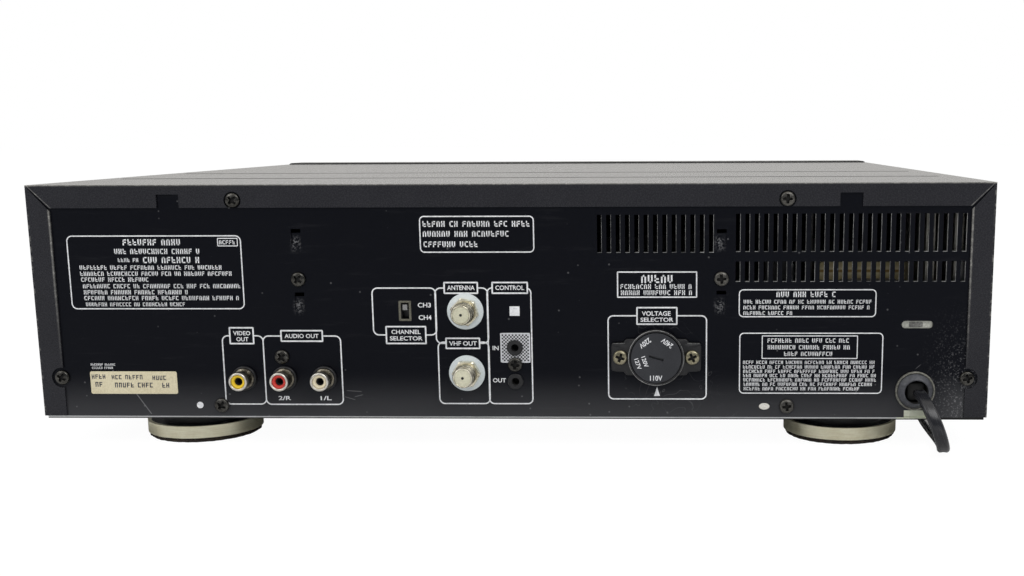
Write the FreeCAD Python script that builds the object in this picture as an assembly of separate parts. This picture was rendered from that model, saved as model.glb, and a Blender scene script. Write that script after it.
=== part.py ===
import FreeCAD, Part
import math
import os

# A laserdisc player of full hi-fi width: a steel pan, rear panel and cover behind a moulded fascia,
# with a motor-driven disc tray, a spindle, a laser pickup and the boards inside.
# Millimetres. The front faces -Y, the connectors face +Y and +Z is up. The origin is on the
# surface that the feet stand on, below the middle of the box round everything but the mains lead.
# On the rear panel, "across" is measured from the middle, to the right as seen from behind, and
# "up" from the underside of the pan.

# Case
bodyWidth = 420.0
bodyHeight = 103.8
fasciaRise = 1.0
fasciaDepth = 24.0
fasciaWall = 3.0
steel = 1.0
parallel = 0.999999
nearlyRound = 0.999
coverSteel = 0.8
coverLip = 10.0
coverLift = 1.2
coverGap = 0.3
mitreGap = 0.5
ribWidth = 5.0
ribDepth = 0.35
ribInsets = (77.0, 158.0)
ribMargin = 9.0
panSide = 15.0
panRear = 12.0
panEar = 26.0
panFrontRise = 6.0
jackCutHeight = 30.0
cutDepth = 8.0
cutIn = 4.0
cutOut = 2.0
hemDepth = 8.0
mitreStart = 1.2
panVent = (4.0, 70.0)
panVentPitch = 12.0
panVents = 4
panVentInner = 40.0
panVentFront = 71.3
seatGap = 0.3
runFit = 0.05
pressFit = 0.001

# Feet
footSideInset = 60.0
rearFootInset = 34.0
frontFootInset = 46.0
footRadius = 26.0
footRingHeight = 5.6
footRingWall = 1.6
footNeckRadius = 19.0
footNeckHeight = 5.7
footPadHeight = 2.2
footScrewRadius = 2.0
footScrewHead = 4.0
footScrewHeadHeight = 1.7
footHubStep = 0.6
footPadStep = 0.9
footStudHeight = 5.0
studWall = 2.0
studRoom = 1.5

# Screws: rear heads, as across and up
screwRadius = 1.5
screwHead = 3.0
screwHeadHeight = 1.9
screwLength = 6.0
screwDomeExtra = 0.4
crossDepth = 1.0
crossReach = 1.7
crossHalf = 0.35
pilotDepth = 30.0
sideScrewInset = 9.2
sideScrewUp = 18.6
panScrews = ((-129.5, 6.0), (122.3, 6.0))
bracketScrews = ((-92.1, 62.5), (93.2, 62.5))
coverScrews = ((-119.1, 97.0), (121.3, 97.0))
coverDimple = 3.75
lipScallop = 4.5
coverNotches = (-147.6, 148.6)
coverNotchWidth = 9.8
coverNotchHeight = 5.8

# Phono jacks
phonoAcross = (-118.6, -100.5, -82.6)
phonoUp = 18.3
phonoRadius = 4.15
phonoBore = 1.6
phonoWall = 0.6
phonoReach = 9.6
phonoCollar = 5.3
phonoCollarHeight = 1.4
jackBlockDepth = 13.0
jackBlockMargin = 8.4
jackBlockHeight = 17.0
phonoScrew = (-101.2, 27.9)
jackEar = 5.0
jackEarDepth = 6.0
jackBoardDepth = 6.0
insertSunk = 0.4

# Aerial sockets, stacked on one modulator box
aerialAcross = -19.0
aerialUps = (48.3, 20.7)
aerialRadius = 4.65
aerialBore = 0.7
aerialFaceSunk = 0.4
aerialWall = 0.9
aerialWasher = 8.0
aerialWasherHeight = 0.5
aerialNutFlats = 11.0
aerialNutHeight = 3.2
connectorReach = 11.8
modulatorWidth = 30.0
modulatorHeight = 54.0
modulatorDepth = 17.0
modulatorUp = 7.0
modulatorFoot = 4.0

# Control jacks
controlAcross = 2.5
controlUps = (32.1, 17.0)
controlRadius = 3.2
controlBore = 1.75
controlBoreDepth = 15.0
controlReach = 0.9
controlDepth = 17.0
controlWidth = 10.0
controlMargin = 5.6
controlScrew = (2.5, 24.6)

# Channel switch
switchAcross = -45.7
switchUp = 48.5
switchWindow = (5.6, 9.0)
switchKnob = (2.0, 2.4)
switchTravel = 3.0
switchDepth = 8.0
switchWall = 2.5
knobPlay = 0.6
knobEnd = 0.2
knobDepth = 3.7

# Voltage selector
dialAcross = 64.8
dialUp = 28.2
dialRadius = 11.0
dialThick = 3.2
dialSlot = (6.6, 1.0)
dialSlotDepth = 1.2
dialShaft = 3.0
dialShaftEnd = 6.5
dialPlay = 0.5
dialSlotTilt = 15.0
selectorStep = 0.6
selectorEarRound = 2.0
selectorRim = 12.3
selectorRimHeight = 4.2
selectorEarThick = 2.2
selectorEarReach = 19.6
selectorEarHeight = 13.4
selectorScrewSpacing = 31.6
selectorDepth = 20.0

# Mains lead
glandInset = 31.0
glandUp = 13.4
glandRadius = 9.0
glandThroat = 6.4
glandProud = 2.6
glandNeck = 7.6
glandNotchWidth = 10.2
glandNotchHeight = 4.2
reliefLength = 22.0
reliefProud = 7.0
reliefBase = 5.4
reliefWall = 0.9
glandRim = 0.8
glandSunk = 4.0
cordRadius = 2.8

# Vents and small openings
ventPitch = 4.04
ventWidth = 2.0
leftVents = 13
rightVents = 25
leftVentLevels = (73.9, 90.3)
rightVentLevels = (74.2, 90.6)
lowVentLevels = (61.2, 70.0)
ventInset = 12.77
ventBreak = 11.55
slotInset = 31.45
slotWidth = 13.7
slotLevels = (40.7, 44.0)
ovalHole = (110.1, 114.8, 4.4, 7.3)
hookTabs = ((-92.3, 77.1), (-92.0, 49.3), (93.2, 76.6), (93.2, 49.9))
hookWidth = 4.2
hookHeight = 7.4
hookSlit = 1.7
hookSunk = 0.3
hookRoot = 0.8

# Disc, turntable and pickup
rearRoom = 63.0
trayFrontInset = 29.3
trayFrontLip = 5.7
discRadius = 151.0
smallDiscRadius = 101.0
compactDiscRadius = 60.6
discPlay = 1.2
matSink = 1.5
playHeight = 67.0
turntableRadius = 17.0
turntableThick = 5.0
matThick = 1.0
hubRadius = 7.3
hubRise = 4.0
hubRoom = 1.5
hubTaper = 1.2
motorFloor = 4.0
shaftRadius = 1.5
motorRadius = 22.0
motorHeight = 22.0
motorBoss = 6.0
motorBossHeight = 2.0
bossFit = 0.1
basePlate = 1.6
baseUp = 34.0
baseSideGap = 19.0
baseFront = 75.0
baseRearMargin = 3.0
# half width or two sides, then how far from the disc or the front, and from the rear
baseWindow = (28.0, 34.0, 30.0)
baseCutout = (64.0, 84.0, 35.0, 40.0)
damperRadius = 8.0
damperHeight = 10.0
damperInset = 7.0
guideRadius = 3.0
guideSpread = 38.0
guideUp = 42.0
guideSeat = 8.0
guideFront = 22.0
guideSpare = 32.0
seatWall = 2.0
feedSeatExtra = 1.5
pickupStart = 24.0
pickupSpare = 4.0
pickupHalfWidth = 45.0
pickupLength = 46.0
pickupUp = 38.5
pickupTop = 60.0
lensRadius = 4.0
lensHeight = 12.0
lensRise = 5.5
lensTravel = 0.8
lensPlay = 0.4
lensFromFront = 20.0
pickupWaist = 20.0
pickupWall = 3.0
feedAcross = 52.0
feedUp = 43.5
feedRadius = 2.5
feedNut = 5.0
feedNutLength = 12.0
feedNutFront = 10.0
feedPlay = 0.35
feedMotorRadius = 7.5
feedMotorLength = 22.0
feedShaft = 1.0
feedShaftLength = 14.0

# Tray and its lift
traySideLip = 15.0
trayFloor = 1.6
trayRecess = 2.0
smallRecess = 1.0
trayRim = 3.0
trayLift = 8.0
trayCentreHole = 38.0
trayWall = 4.0
trayWallRise = 1.5
runnerInner = 114.0
runnerWidth = 10.0
runnerDrop = 11.9
runnerBeyond = 36.3
railWall = 3.0
railFloor = 2.5
railShelf = 6.0
bridgeWidth = 8.0
stubRoot = 4.0
stubBeyond = 1.5
stubRadius = 2.5
stubPlay = 0.3
stubSpots = (-109.7, 131.3)
railEnds = (8.0, -7.0)
topPlay = 0.6
camThick = 1.5
camTravel = 32.0
camMargin = 3.0
camGap = 2.5
camLinkUp = 29.0
camLinkHeight = 2.5
camLinkWidth = 8.0
camLinkBack = 111.3
camEnd = 9.0
framePlate = 1.5
frameGap = 6.7
frameBeyond = 33.3
frameFlange = 4.0
footClear = 6.0
frameWindow = (58.0, 70.0, 10.0, 34.0)
frameWindows = 3
ledgeThick = 1.5
ledgeLength = (108.0, 66.0)
ledgeBack = 39.3
frameTop = 94.5
beamWidth = 20.0
shelfUp = 38.0
shelfThick = 2.0
frontLugWidth = 8.0
frontLugThick = 2.5
frontPinRadius = 2.0
lugGap = 0.5
doorRound = 1.0
frontPinInset = 6.0

# Loading drive
gearModule = 1.5
gearTeeth = 16
gearBacklash = 0.5
gearAngle = 20.0
# in modules
rackReach = 1.2
toothTop = 0.87
toothRoot = 1.13
rackSink = 0.2
gearBack = 65.0
gearRoom = 0.4
pulleyRadius = 16.9
pulleyFlange = 18.5
pulleyHeight = 6.0
pulleyUp = 43.0
beltHeight = 2.4
beltThick = 1.5
beltPlay = 0.15
loadMotorRadius = 12.0
loadMotorHeight = 20.0
loadPulleyRadius = 4.0
pulleySpan = 34.2
postRadius = 2.0
postShoulder = 3.0
shelfMargin = 4.0
shelfBeyond = 28.0
loadBoss = 5.0
loadShaft = 1.0
loadShaftDepth = 9.0
loadPulleyFlange = 1.6
beltRoom = 0.4

# Clamp
clampPivotBeyond = 20.0
clampSlot = (9.0, 35.0, 25.0)
clampPivotUp = 90.0
clampArmThick = 1.5
clampArmHalf = 20.0
clampPin = 2.0
clampPinOut = 1.0
earGap = 1.0
earThick = 2.0
earHalf = 5.0
earDrop = 4.0
clampRadius = 16.0
clampUnder = 80.5
clampNeck = 9.8
clampPlay = 0.5
clampFlange = 13.0
clampFlangeThick = 1.5
clampRecess = 9.0
clampRecessDepth = 5.0

# Front
doorHalfWidth = 172.5
doorUp = 57.5
doorHeight = 34.0
doorThick = 6.0
doorGap = 0.5
windowInsets = (97.0, 173.0)
windowUp = 15.0
windowHeight = 28.0
windowThick = 1.5
windowLedge = 1.5
boardThick = 1.6
frontBoardInset = 14.0
frontBoardMargin = 6.0
frontBoardLevels = (6.0, 52.0)
frontPostInset = 6.0
tactHalf = 3.0
displayDepth = 7.0
displayMargin = (6.0, 4.0)
fasciaRound = 2.5
windowGap = 0.1
keyRound = 0.8
keyStem = 2.0
keyGap = 0.4
keyFlange = 1.2
keyFlangeThick = 1.5
keyProud = 1.2
keyTravel = 1.0
powerTravel = 2.5
tactHeight = 3.5
# name: across as seen from the front, from the left end or, where negative, from the right end; up; width;
# height; travel
keyPlaces = {
    "power_button": (34.0, 29.0, 26.0, 13.0, powerTravel),
    "open_close_button": (-147.5, 38.0, 30.0, 8.0, keyTravel),
    "stop_button": (-110.0, 38.0, 26.0, 8.0, keyTravel),
    "pause_button": (-110.0, 20.0, 26.0, 8.0, keyTravel),
    "play_button": (-60.0, 29.0, 58.0, 22.0, keyTravel),
    "skip_back_button": (-156.0, 20.0, 13.0, 8.0, keyTravel),
    "skip_forward_button": (-139.0, 20.0, 13.0, 8.0, keyTravel),
}

# Power supply and boards
coilInner = 3.0
coilOuterInset = 18.9
coilLevels = (14.0, 68.0)
coreGap = 1.8
coilDepth = 30.0
coilRound = 5.0
coreShift = 3.5
coreWidth = 24.0
coreHeight = 60.0
coreYoke = 7.0
sinkInset = 2.9
sinkDepth = 52.0
sinkHeight = 74.0
sinkFin = 8.0
sinkFins = 6
sinkWall = 2.0
boardUp = 8.0
boardGap = 7.0
boardSideInset = 5.9
boardPostInset = (6.0, 8.0)
boardFrontInset = 40.0
boardRearInset = 62.0
boardPost = 3.0

# Places that follow from the sizes above
discInset = trayFrontInset + trayFrontLip + discRadius
bodyDepth = discInset + discRadius + rearRoom
footHeight = footNeckHeight + footRingHeight + footPadHeight
rearFace = (bodyDepth + keyProud - connectorReach) / 2
frontFace = rearFace - bodyDepth
panelFace = rearFace - coverSteel
panelBack = panelFace - steel
fasciaBack = frontFace + fasciaDepth
halfWidth = bodyWidth / 2
panHalf = halfWidth - coverSteel - coverGap
discY = frontFace + discInset
trayFront = frontFace + trayFrontInset
footSpread = halfWidth - footSideInset
keys = {
    name: (place[0] + math.copysign(halfWidth, -place[0]),) + place[1:] for name, place in keyPlaces.items()
}
windowCentre = (windowInsets[0] - windowInsets[1]) / 2
windowWidth = bodyWidth - sum(windowInsets)
runnerOuter = runnerInner + runnerWidth
railOuter = runnerOuter + seatGap + railWall
framePlateAcross = railOuter + frameGap
boardInner = framePlateAcross + boardGap
baseHalfWidth = runnerInner - baseSideGap
frontPinAcross = runnerInner + frontPinInset
coilRear = panelFace + reliefProud - reliefLength - coreGap - coreYoke
sideScrews = tuple((side * (halfWidth - sideScrewInset), sideScrewUp) for side in (-1, 1))
glandAcross = halfWidth - glandInset
rightVentStart = halfWidth - ventInset - (rightVents - 1) * ventPitch
leftVentStart = rightVentStart - ventBreak - (leftVents - 1) * ventPitch
pickupTravel = discRadius - pickupStart - pickupSpare
guideRear = pickupStart + pickupTravel + guideSpare
baseRear = guideRear + guideSeat + baseRearMargin
trayHalfWidth = discRadius + traySideLip
runnerRear = discY + discRadius + runnerBeyond
frameRear = discY + discRadius + frameBeyond
clampPivotBack = discRadius + clampPivotBeyond
stubPlaces = [discY + back for back in stubSpots]
boardOuter = panHalf - boardSideInset
sinkAcross = panHalf - sinkInset
coilSides = (framePlateAcross + coilInner, panHalf - coilOuterInset)
coreMiddle = sum(coilSides) / 2 - coreShift
flangeBack = panelBack - steel


def up(height):
    """The level of a point given from the underside of the pan."""
    return footHeight + height


def block(x0, x1, y0, y1, z0, z1):
    """A box between two corners, given in any order."""
    low = FreeCAD.Vector(min(x0, x1), min(y0, y1), min(z0, z1))
    return Part.makeBox(abs(x1 - x0), abs(y1 - y0), abs(z1 - z0), low)


def rodX(x0, x1, y, z, radius):
    """A round bar along X."""
    return Part.makeCylinder(radius, abs(x1 - x0), FreeCAD.Vector(min(x0, x1), y, z), FreeCAD.Vector(1, 0, 0))


def rodY(x, y0, y1, z, radius):
    """A round bar along Y."""
    return Part.makeCylinder(radius, abs(y1 - y0), FreeCAD.Vector(x, min(y0, y1), z), FreeCAD.Vector(0, 1, 0))


def rodZ(x, y, z0, z1, radius):
    """A round bar along Z."""
    return Part.makeCylinder(radius, abs(z1 - z0), FreeCAD.Vector(x, y, min(z0, z1)))


def prism(points, along):
    """A flat outline, given as corner points, pushed along a vector."""
    corners = [FreeCAD.Vector(*p) for p in points]
    return Part.Face(Part.makePolygon(corners + corners[:1])).extrude(FreeCAD.Vector(*along))


def joined(first, *others):
    """Several touching or overlapping shapes as one solid."""
    return first.multiFuse(list(others)).removeSplitter()


def rounded(shape, radius, axis):
    """The shape with its straight edges along an axis rounded."""
    straight = [e for e in shape.Edges if isinstance(e.Curve, Part.Line)]
    along = FreeCAD.Vector(*axis)
    edges = [e for e in straight if abs(e.Curve.Direction.dot(along)) > parallel]
    return shape.makeFillet(radius, edges)


def rearRod(across, height, out0, out1, radius):
    """A round bar through the rear panel; out is measured from the panel's outer face."""
    return rodY(-across, panelFace + out0, panelFace + out1, up(height), radius)


def rearBlock(across0, across1, up0, up1, out0, out1):
    """A box on the rear panel; out is measured from the panel's outer face."""
    return block(-across0, -across1, panelFace + out0, panelFace + out1, up(up0), up(up1))


def stadium(across0, across1, up0, up1, out0, out1):
    """A slot with round ends through the rear panel, as wide as its shorter side."""
    radius = min(across1 - across0, up1 - up0) / 2
    axis = (0, 1, 0)
    return rounded(rearBlock(across0, across1, up0, up1, out0, out1), radius * nearlyRound, axis)


def screw(across, height, seat=0.0):
    """A pan-head screw through the rear panel, its head seated at a distance from the face."""
    head = rearRod(across, height, seat, seat + screwHeadHeight, screwHead)
    domeRadius = (screwHead**2 + screwHeadHeight**2) / (2 * screwHeadHeight) + screwDomeExtra
    middle = panelFace + seat + screwHeadHeight - domeRadius
    crown = Part.makeSphere(domeRadius, FreeCAD.Vector(-across, middle, up(height)))
    shank = rearRod(across, height, seat - screwLength, seat, screwRadius)
    floor, top = seat + screwHeadHeight - crossDepth, seat + screwHeadHeight + 1
    cross = [
        rearBlock(across - a, across + a, height - b, height + b, floor, top)
        for a, b in ((crossReach, crossHalf), (crossHalf, crossReach))
    ]
    return joined(head.common(crown), shank).cut(cross)


def pilots(places, depth=pilotDepth):
    """Clearance holes round the shanks of the screws at some places."""
    return [rearRod(a, h, -depth, 3, screwRadius + runFit) for a, h in places]


def save(node, *solids):
    """Write one node's solids to its STEP file."""
    shape = solids[0] if len(solids) == 1 else Part.makeCompound(list(solids))
    if not shape.isValid():
        print("not valid:", node)
    shape.exportStep(f"parts/{node}.step")


# Case

footPlaces = [
    (side * footSpread, y)
    for side in (-1, 1)
    for y in (rearFace - rearFootInset, frontFace + frontFootInset)
]
damperPlaces = [
    (side * (baseHalfWidth - damperInset - 1), discY + back)
    for side in (-1, 1)
    for back in (damperInset + 1 - baseFront, baseRear - damperInset - 1)
]
boardSpan = (frontFace + boardFrontInset, rearFace - boardRearInset)
boardPosts = [
    (side * across, y)
    for side in (-1, 1)
    for across in (boardInner + boardPostInset[0], boardOuter - boardPostInset[0])
    for y in (boardSpan[0] + boardPostInset[1], boardSpan[1] - boardPostInset[1])
]


def bottomChassis():
    plate = block(-panHalf, panHalf, fasciaBack, panelFace, up(0), up(steel))
    sides = [
        block(s * panHalf, s * (panHalf - steel), fasciaBack, flangeBack, up(0), up(panSide)) for s in (-1, 1)
    ]
    wallTop = up(windowUp + windowHeight + panFrontRise)
    front = block(-panHalf, panHalf, fasciaBack, fasciaBack + steel, up(0), wallTop)
    rear = block(-panHalf, panHalf, flangeBack, panelBack, up(0), up(panRear))
    ears = [
        block(s * panHalf, s * (panHalf - panSide), flangeBack, panelBack, up(0), up(panEar)) for s in (-1, 1)
    ]
    boardStuds = [rodZ(x, y, up(0), up(boardUp), boardPost) for x, y in boardPosts]
    baseStuds = [rodZ(x, y, up(0), up(baseUp - damperHeight), damperRadius - 1) for x, y in damperPlaces]
    footStuds = [rodZ(x, y, up(0), up(footStudHeight), footScrewRadius + studWall) for x, y in footPlaces]
    pan = joined(plate, *sides, front, rear, *ears, *boardStuds, *baseStuds, *footStuds)
    gland = rearRod(glandAcross, glandUp, -cutDepth, 3, glandNeck + seatGap)
    jacks = [rearRod(a, phonoUp, -cutDepth, 3, phonoRadius + seatGap) for a in phonoAcross]
    blockCut = rearBlock(
        phonoAcross[0] - jackBlockMargin - 1, phonoAcross[-1] + jackBlockMargin + 1,
        phonoUp - jackBlockHeight / 2 - 1, jackCutHeight, -cutDepth, -steel,
    )
    modulatorCut = rearBlock(
        aerialAcross - modulatorWidth / 2 - 1, controlAcross + controlMargin + 1,
        modulatorUp - 1, jackCutHeight, -cutDepth, -steel,
    )
    footHoles = [rodZ(x, y, up(-1), up(footStudHeight + 1), footScrewRadius + runFit) for x, y in footPlaces]
    wide, deep = panVent
    y0 = fasciaBack + panVentFront
    vents = []
    for k in range(panVents):
        inner = panVentInner + panVentPitch * k
        vents += [block(s * inner, s * (inner + wide), y0, y0 + deep, up(-1), up(steel + 1)) for s in (-1, 1)]
    oval = stadium(ovalHole[0], ovalHole[1], ovalHole[2], ovalHole[3], -4, 2)
    tools = [gland, *jacks, blockCut, modulatorCut, oval, *footHoles, *vents]
    tools += pilots(sideScrews + panScrews)
    return pan.cut(tools)


def ventCuts(first, count, low, high):
    """A row of upright slots."""
    half = ventWidth / 2
    return [
        rearBlock(first + k * ventPitch - half, first + k * ventPitch + half, low, high, -cutIn, cutOut)
        for k in range(count)
    ]


def rearPanel():
    top = up(bodyHeight) - coverSteel - coverGap
    plate = block(-panHalf, panHalf, panelBack, panelFace, up(steel), top)
    tools = ventCuts(leftVentStart, leftVents, *leftVentLevels)
    for levels in (rightVentLevels, lowVentLevels):
        tools += ventCuts(rightVentStart, rightVents, *levels)
    slotEnd = halfWidth - slotInset + slotWidth / 2
    tools.append(stadium(slotEnd - slotWidth, slotEnd, *slotLevels, -cutIn, cutOut))
    tools.append(stadium(*ovalHole, -cutIn, cutOut))
    tools += [rearRod(a, phonoUp, -cutIn, cutOut, phonoRadius + seatGap) for a in phonoAcross]
    tools += [rearRod(aerialAcross, h, -cutIn, cutOut, aerialRadius + seatGap) for h in aerialUps]
    tools += [rearRod(controlAcross, h, -cutIn, cutOut, controlRadius + runFit) for h in controlUps]
    w, h = switchWindow
    a0, a1 = switchAcross - w / 2, switchAcross + w / 2
    tools.append(rearBlock(a0, a1, switchUp - h / 2, switchUp + h / 2, -cutIn, cutOut))
    tools.append(rearRod(dialAcross, dialUp, -cutIn, cutOut, selectorRim - selectorStep + runFit))
    tools.append(rearRod(glandAcross, glandUp, -cutIn, cutOut, glandNeck + runFit))
    half = glandNotchWidth / 2
    tools.append(rearBlock(glandAcross - half, glandAcross + half, 0, glandNotchHeight, -cutIn, cutOut))
    selector = [(dialAcross + s * selectorScrewSpacing / 2, dialUp) for s in (-1, 1)]
    tools += pilots(
        list(sideScrews + panScrews + bracketScrews + coverScrews) + [phonoScrew, controlScrew] + selector,
        cutIn,
    )
    tabs = []
    for across, low in hookTabs:
        a0, a1 = across - hookWidth / 2, across + hookWidth / 2
        tools.append(rearBlock(a0, a1, low, low + hookHeight, -cutIn, cutOut))
        tabs.append(rearBlock(a0, a1, low, low + hookHeight - hookSlit, -steel - hookSunk, -steel / 2))
        tabs.append(rearBlock(a0, a1, low, low + hookRoot, -steel, 0))
    return joined(plate.cut(tools), *tabs)


def rearHem():
    """A stiffening strip welded along the top of the rear panel's inner face."""
    top = up(bodyHeight) - coverSteel - coverGap
    strip = block(-panHalf, panHalf, panelBack - hemDepth, panelBack, top - steel, top)
    return strip.cut(pilots(coverScrews, cutIn))


def topCover():
    top = up(bodyHeight)
    low = up(coverLift)
    outer = block(-halfWidth, halfWidth, fasciaBack, rearFace, low, top)
    inner = block(
        coverSteel - halfWidth, halfWidth - coverSteel, fasciaBack - 1, rearFace + 1, low - 1,
        top - coverSteel,
    )
    mouth = halfWidth - coverLip
    mitre = [
        prism(
            [
                (s * (halfWidth - mitreStart), panelFace - 1, top - mitreStart),
                (s * (mouth - 1), panelFace - 1, top - coverLip - 1),
                (s * (mouth - 1), panelFace - 1, top - coverLip - 1 - mitreGap * 3),
                (s * (halfWidth - mitreStart), panelFace - 1, top - mitreStart - mitreGap),
            ],
            (0, 4, 0),
        )
        for s in (-1, 1)
    ]
    lip = block(-halfWidth, halfWidth, panelFace, rearFace, low, top).cut(
        block(-mouth, mouth, panelFace - 1, rearFace + 1, low - 1, top - coverLip)
    )
    notches = [
        rearBlock(
            a - coverNotchWidth / 2,
            a + coverNotchWidth / 2,
            bodyHeight - coverLip - 1,
            bodyHeight - coverLip + coverNotchHeight,
            -0.5,
            3,
        )
        for a in coverNotches
    ]
    scallops = [rearRod(a, h, -0.5, 3, lipScallop) for a, h in sideScrews]
    dimples = [rearRod(a, h, -0.5, 3, coverDimple) for a, h in coverScrews]
    ribs = [
        block(
            ribMargin - halfWidth,
            halfWidth - ribMargin,
            rearFace - inset - ribWidth / 2,
            rearFace - inset + ribWidth / 2,
            top - ribDepth,
            top + 1,
        )
        for inset in ribInsets
    ]
    return joined(outer.cut(inner), lip).cut(notches + scallops + dimples + ribs + mitre)


def fascia():
    low, high = up(0), up(bodyHeight + fasciaRise)
    shell = rounded(block(-halfWidth, halfWidth, frontFace, fasciaBack, low, high), fasciaRound, (0, 1, 0))
    hollow = block(
        fasciaWall - halfWidth,
        halfWidth - fasciaWall,
        frontFace + fasciaWall,
        fasciaBack + 1,
        low + fasciaWall,
        high - fasciaWall,
    )
    boss = halfWidth - frontBoardMargin - frontPostInset
    low0, high0 = frontBoardLevels[0] + frontPostInset, frontBoardLevels[1] - frontPostInset
    bosses = [
        rodY(s * boss, frontFace + fasciaWall, frontFace + frontBoardInset, up(z), boardPost)
        for s in (-1, 1)
        for z in (low0, high0)
    ]
    door = block(
        -doorHalfWidth - doorGap,
        doorHalfWidth + doorGap,
        frontFace - 1,
        fasciaBack,
        up(doorUp - doorGap),
        up(doorUp + doorHeight + doorGap),
    )
    window = block(
        windowCentre - windowWidth / 2,
        windowCentre + windowWidth / 2,
        frontFace - 1,
        frontFace + windowThick,
        up(windowUp),
        up(windowUp + windowHeight),
    )
    sight = block(
        windowCentre - windowWidth / 2 + windowLedge,
        windowCentre + windowWidth / 2 - windowLedge,
        frontFace - 1,
        fasciaBack,
        up(windowUp + windowLedge),
        up(windowUp + windowHeight - windowLedge),
    )
    holes = [
        block(
            x - w / 2 - keyGap,
            x + w / 2 + keyGap,
            frontFace - 1,
            frontFace + fasciaWall + 1,
            up(z - h / 2 - keyGap),
            up(z + h / 2 + keyGap),
        )
        for x, z, w, h, *_ in keys.values()
    ]
    return joined(shell.cut(hollow), *bosses).cut([door, window, sight] + holes)


def displayWindow():
    gap = windowGap
    return block(
        windowCentre - windowWidth / 2 + gap,
        windowCentre + windowWidth / 2 - gap,
        frontFace,
        frontFace + windowThick,
        up(windowUp) + gap,
        up(windowUp + windowHeight) - gap,
    )


def keyBack(travel):
    """How far behind the fascia's face the stem of a key ends, clear of its switch when pressed."""
    return frontBoardInset - tactHeight - seatGap - travel


def key(x, z, w, h, travel):
    flangeFace = frontFace + fasciaWall + seatGap
    cap = rounded(
        block(x - w / 2, x + w / 2, frontFace - keyProud, flangeFace, up(z - h / 2), up(z + h / 2)),
        keyRound,
        (0, 1, 0),
    )
    flange = block(
        x - w / 2 - keyFlange,
        x + w / 2 + keyFlange,
        flangeFace,
        flangeFace + keyFlangeThick,
        up(z - h / 2 - keyFlange),
        up(z + h / 2 + keyFlange),
    )
    stem = rodY(x, flangeFace, frontFace + keyBack(travel), up(z), keyStem)
    return joined(cap, flange, stem)


def frontBoard():
    front = frontFace + frontBoardInset
    end = halfWidth - frontBoardMargin
    low, high = frontBoardLevels
    board = block(-end, end, front, front + boardThick, up(low), up(high))
    t = tactHalf
    tacts = [
        block(x - t, x + t, front - tactHeight, front, up(z - t), up(z + t)) for x, z, *_ in keys.values()
    ]
    aside, above = displayMargin
    tube = block(
        windowCentre - windowWidth / 2 + aside,
        windowCentre + windowWidth / 2 - aside,
        front - displayDepth,
        front,
        up(windowUp + above),
        up(windowUp + windowHeight - above),
    )
    return joined(board, *tacts, tube)


# Feet


def footHub(x, y):
    ringTop = footPadHeight + footRingHeight
    body = rodZ(x, y, footPadHeight, ringTop - footHubStep, footRadius - footRingWall - runFit)
    neck = rodZ(x, y, footPadHeight, footHeight, footNeckRadius)
    return joined(body, neck).cut(rodZ(x, y, 0, footHeight + 1, footScrewRadius + runFit))


def footRing(x, y):
    ringTop = footPadHeight + footRingHeight
    ring = rodZ(x, y, footPadHeight, ringTop, footRadius)
    return ring.cut(rodZ(x, y, 0, ringTop + 1, footRadius - footRingWall))


def footPad(x, y):
    return rodZ(x, y, 0, footPadHeight, footRadius - footPadStep).cut(
        rodZ(x, y, -1, footPadHeight + 1, footScrewHead + 1)
    )


def footScrew(x, y):
    head = rodZ(x, y, footPadHeight - footScrewHeadHeight, footPadHeight, footScrewHead)
    return joined(head, rodZ(x, y, footPadHeight, up(footStudHeight + 1), footScrewRadius))


# Rear connectors


def jackBlock():
    a0, a1 = phonoAcross[0] - jackBlockMargin, phonoAcross[-1] + jackBlockMargin
    low, high = phonoUp - jackBlockHeight / 2, phonoUp + jackBlockHeight / 2
    body = rearBlock(a0, a1, low, high, -steel - jackBlockDepth, -steel)
    ear = rearBlock(
        phonoScrew[0] - jackEar, phonoScrew[0] + jackEar, high, phonoScrew[1] + jackEar,
        -steel - jackEarDepth, -steel,
    )
    board = rearBlock(a0, a1, low - boardThick, low, -steel - jackBlockDepth - jackBoardDepth, -steel - 2)
    return joined(body, ear, board).cut(pilots([phonoScrew]))


def phonoShell(across):
    barrel = rearRod(across, phonoUp, -steel, phonoReach, phonoRadius)
    collar = rearRod(across, phonoUp, 0, phonoCollarHeight, phonoCollar)
    hollow = rearRod(across, phonoUp, -steel - 1, phonoReach + 1, phonoRadius - phonoWall)
    return joined(barrel, collar).cut(hollow)


def phonoInsert(across):
    body = rearRod(across, phonoUp, -steel, phonoReach - insertSunk, phonoRadius - phonoWall - runFit)
    return body.cut(rearRod(across, phonoUp, 1, phonoReach + 1, phonoBore))


def aerialSocket(height):
    reach = coverSteel + connectorReach
    barrel = rearRod(aerialAcross, height, -steel, reach, aerialRadius)
    nut = prism(
        [
            (
                -aerialAcross + aerialNutFlats / math.sqrt(3) * math.cos(math.radians(60 * k)),
                panelFace + aerialWasherHeight,
                up(height) + aerialNutFlats / math.sqrt(3) * math.sin(math.radians(60 * k)),
            )
            for k in range(6)
        ],
        (0, aerialNutHeight, 0),
    )
    face = rearRod(aerialAcross, height, reach - aerialFaceSunk, reach + 1, aerialRadius - aerialWall)
    bore = rearRod(aerialAcross, height, 2, reach + 1, aerialBore)
    return joined(barrel, nut).cut([face, bore])


def aerialWasherDisc(height):
    disc = rearRod(aerialAcross, height, 0, aerialWasherHeight, aerialWasher)
    return disc.cut(rearRod(aerialAcross, height, -1, 2, aerialRadius + runFit))


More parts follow.
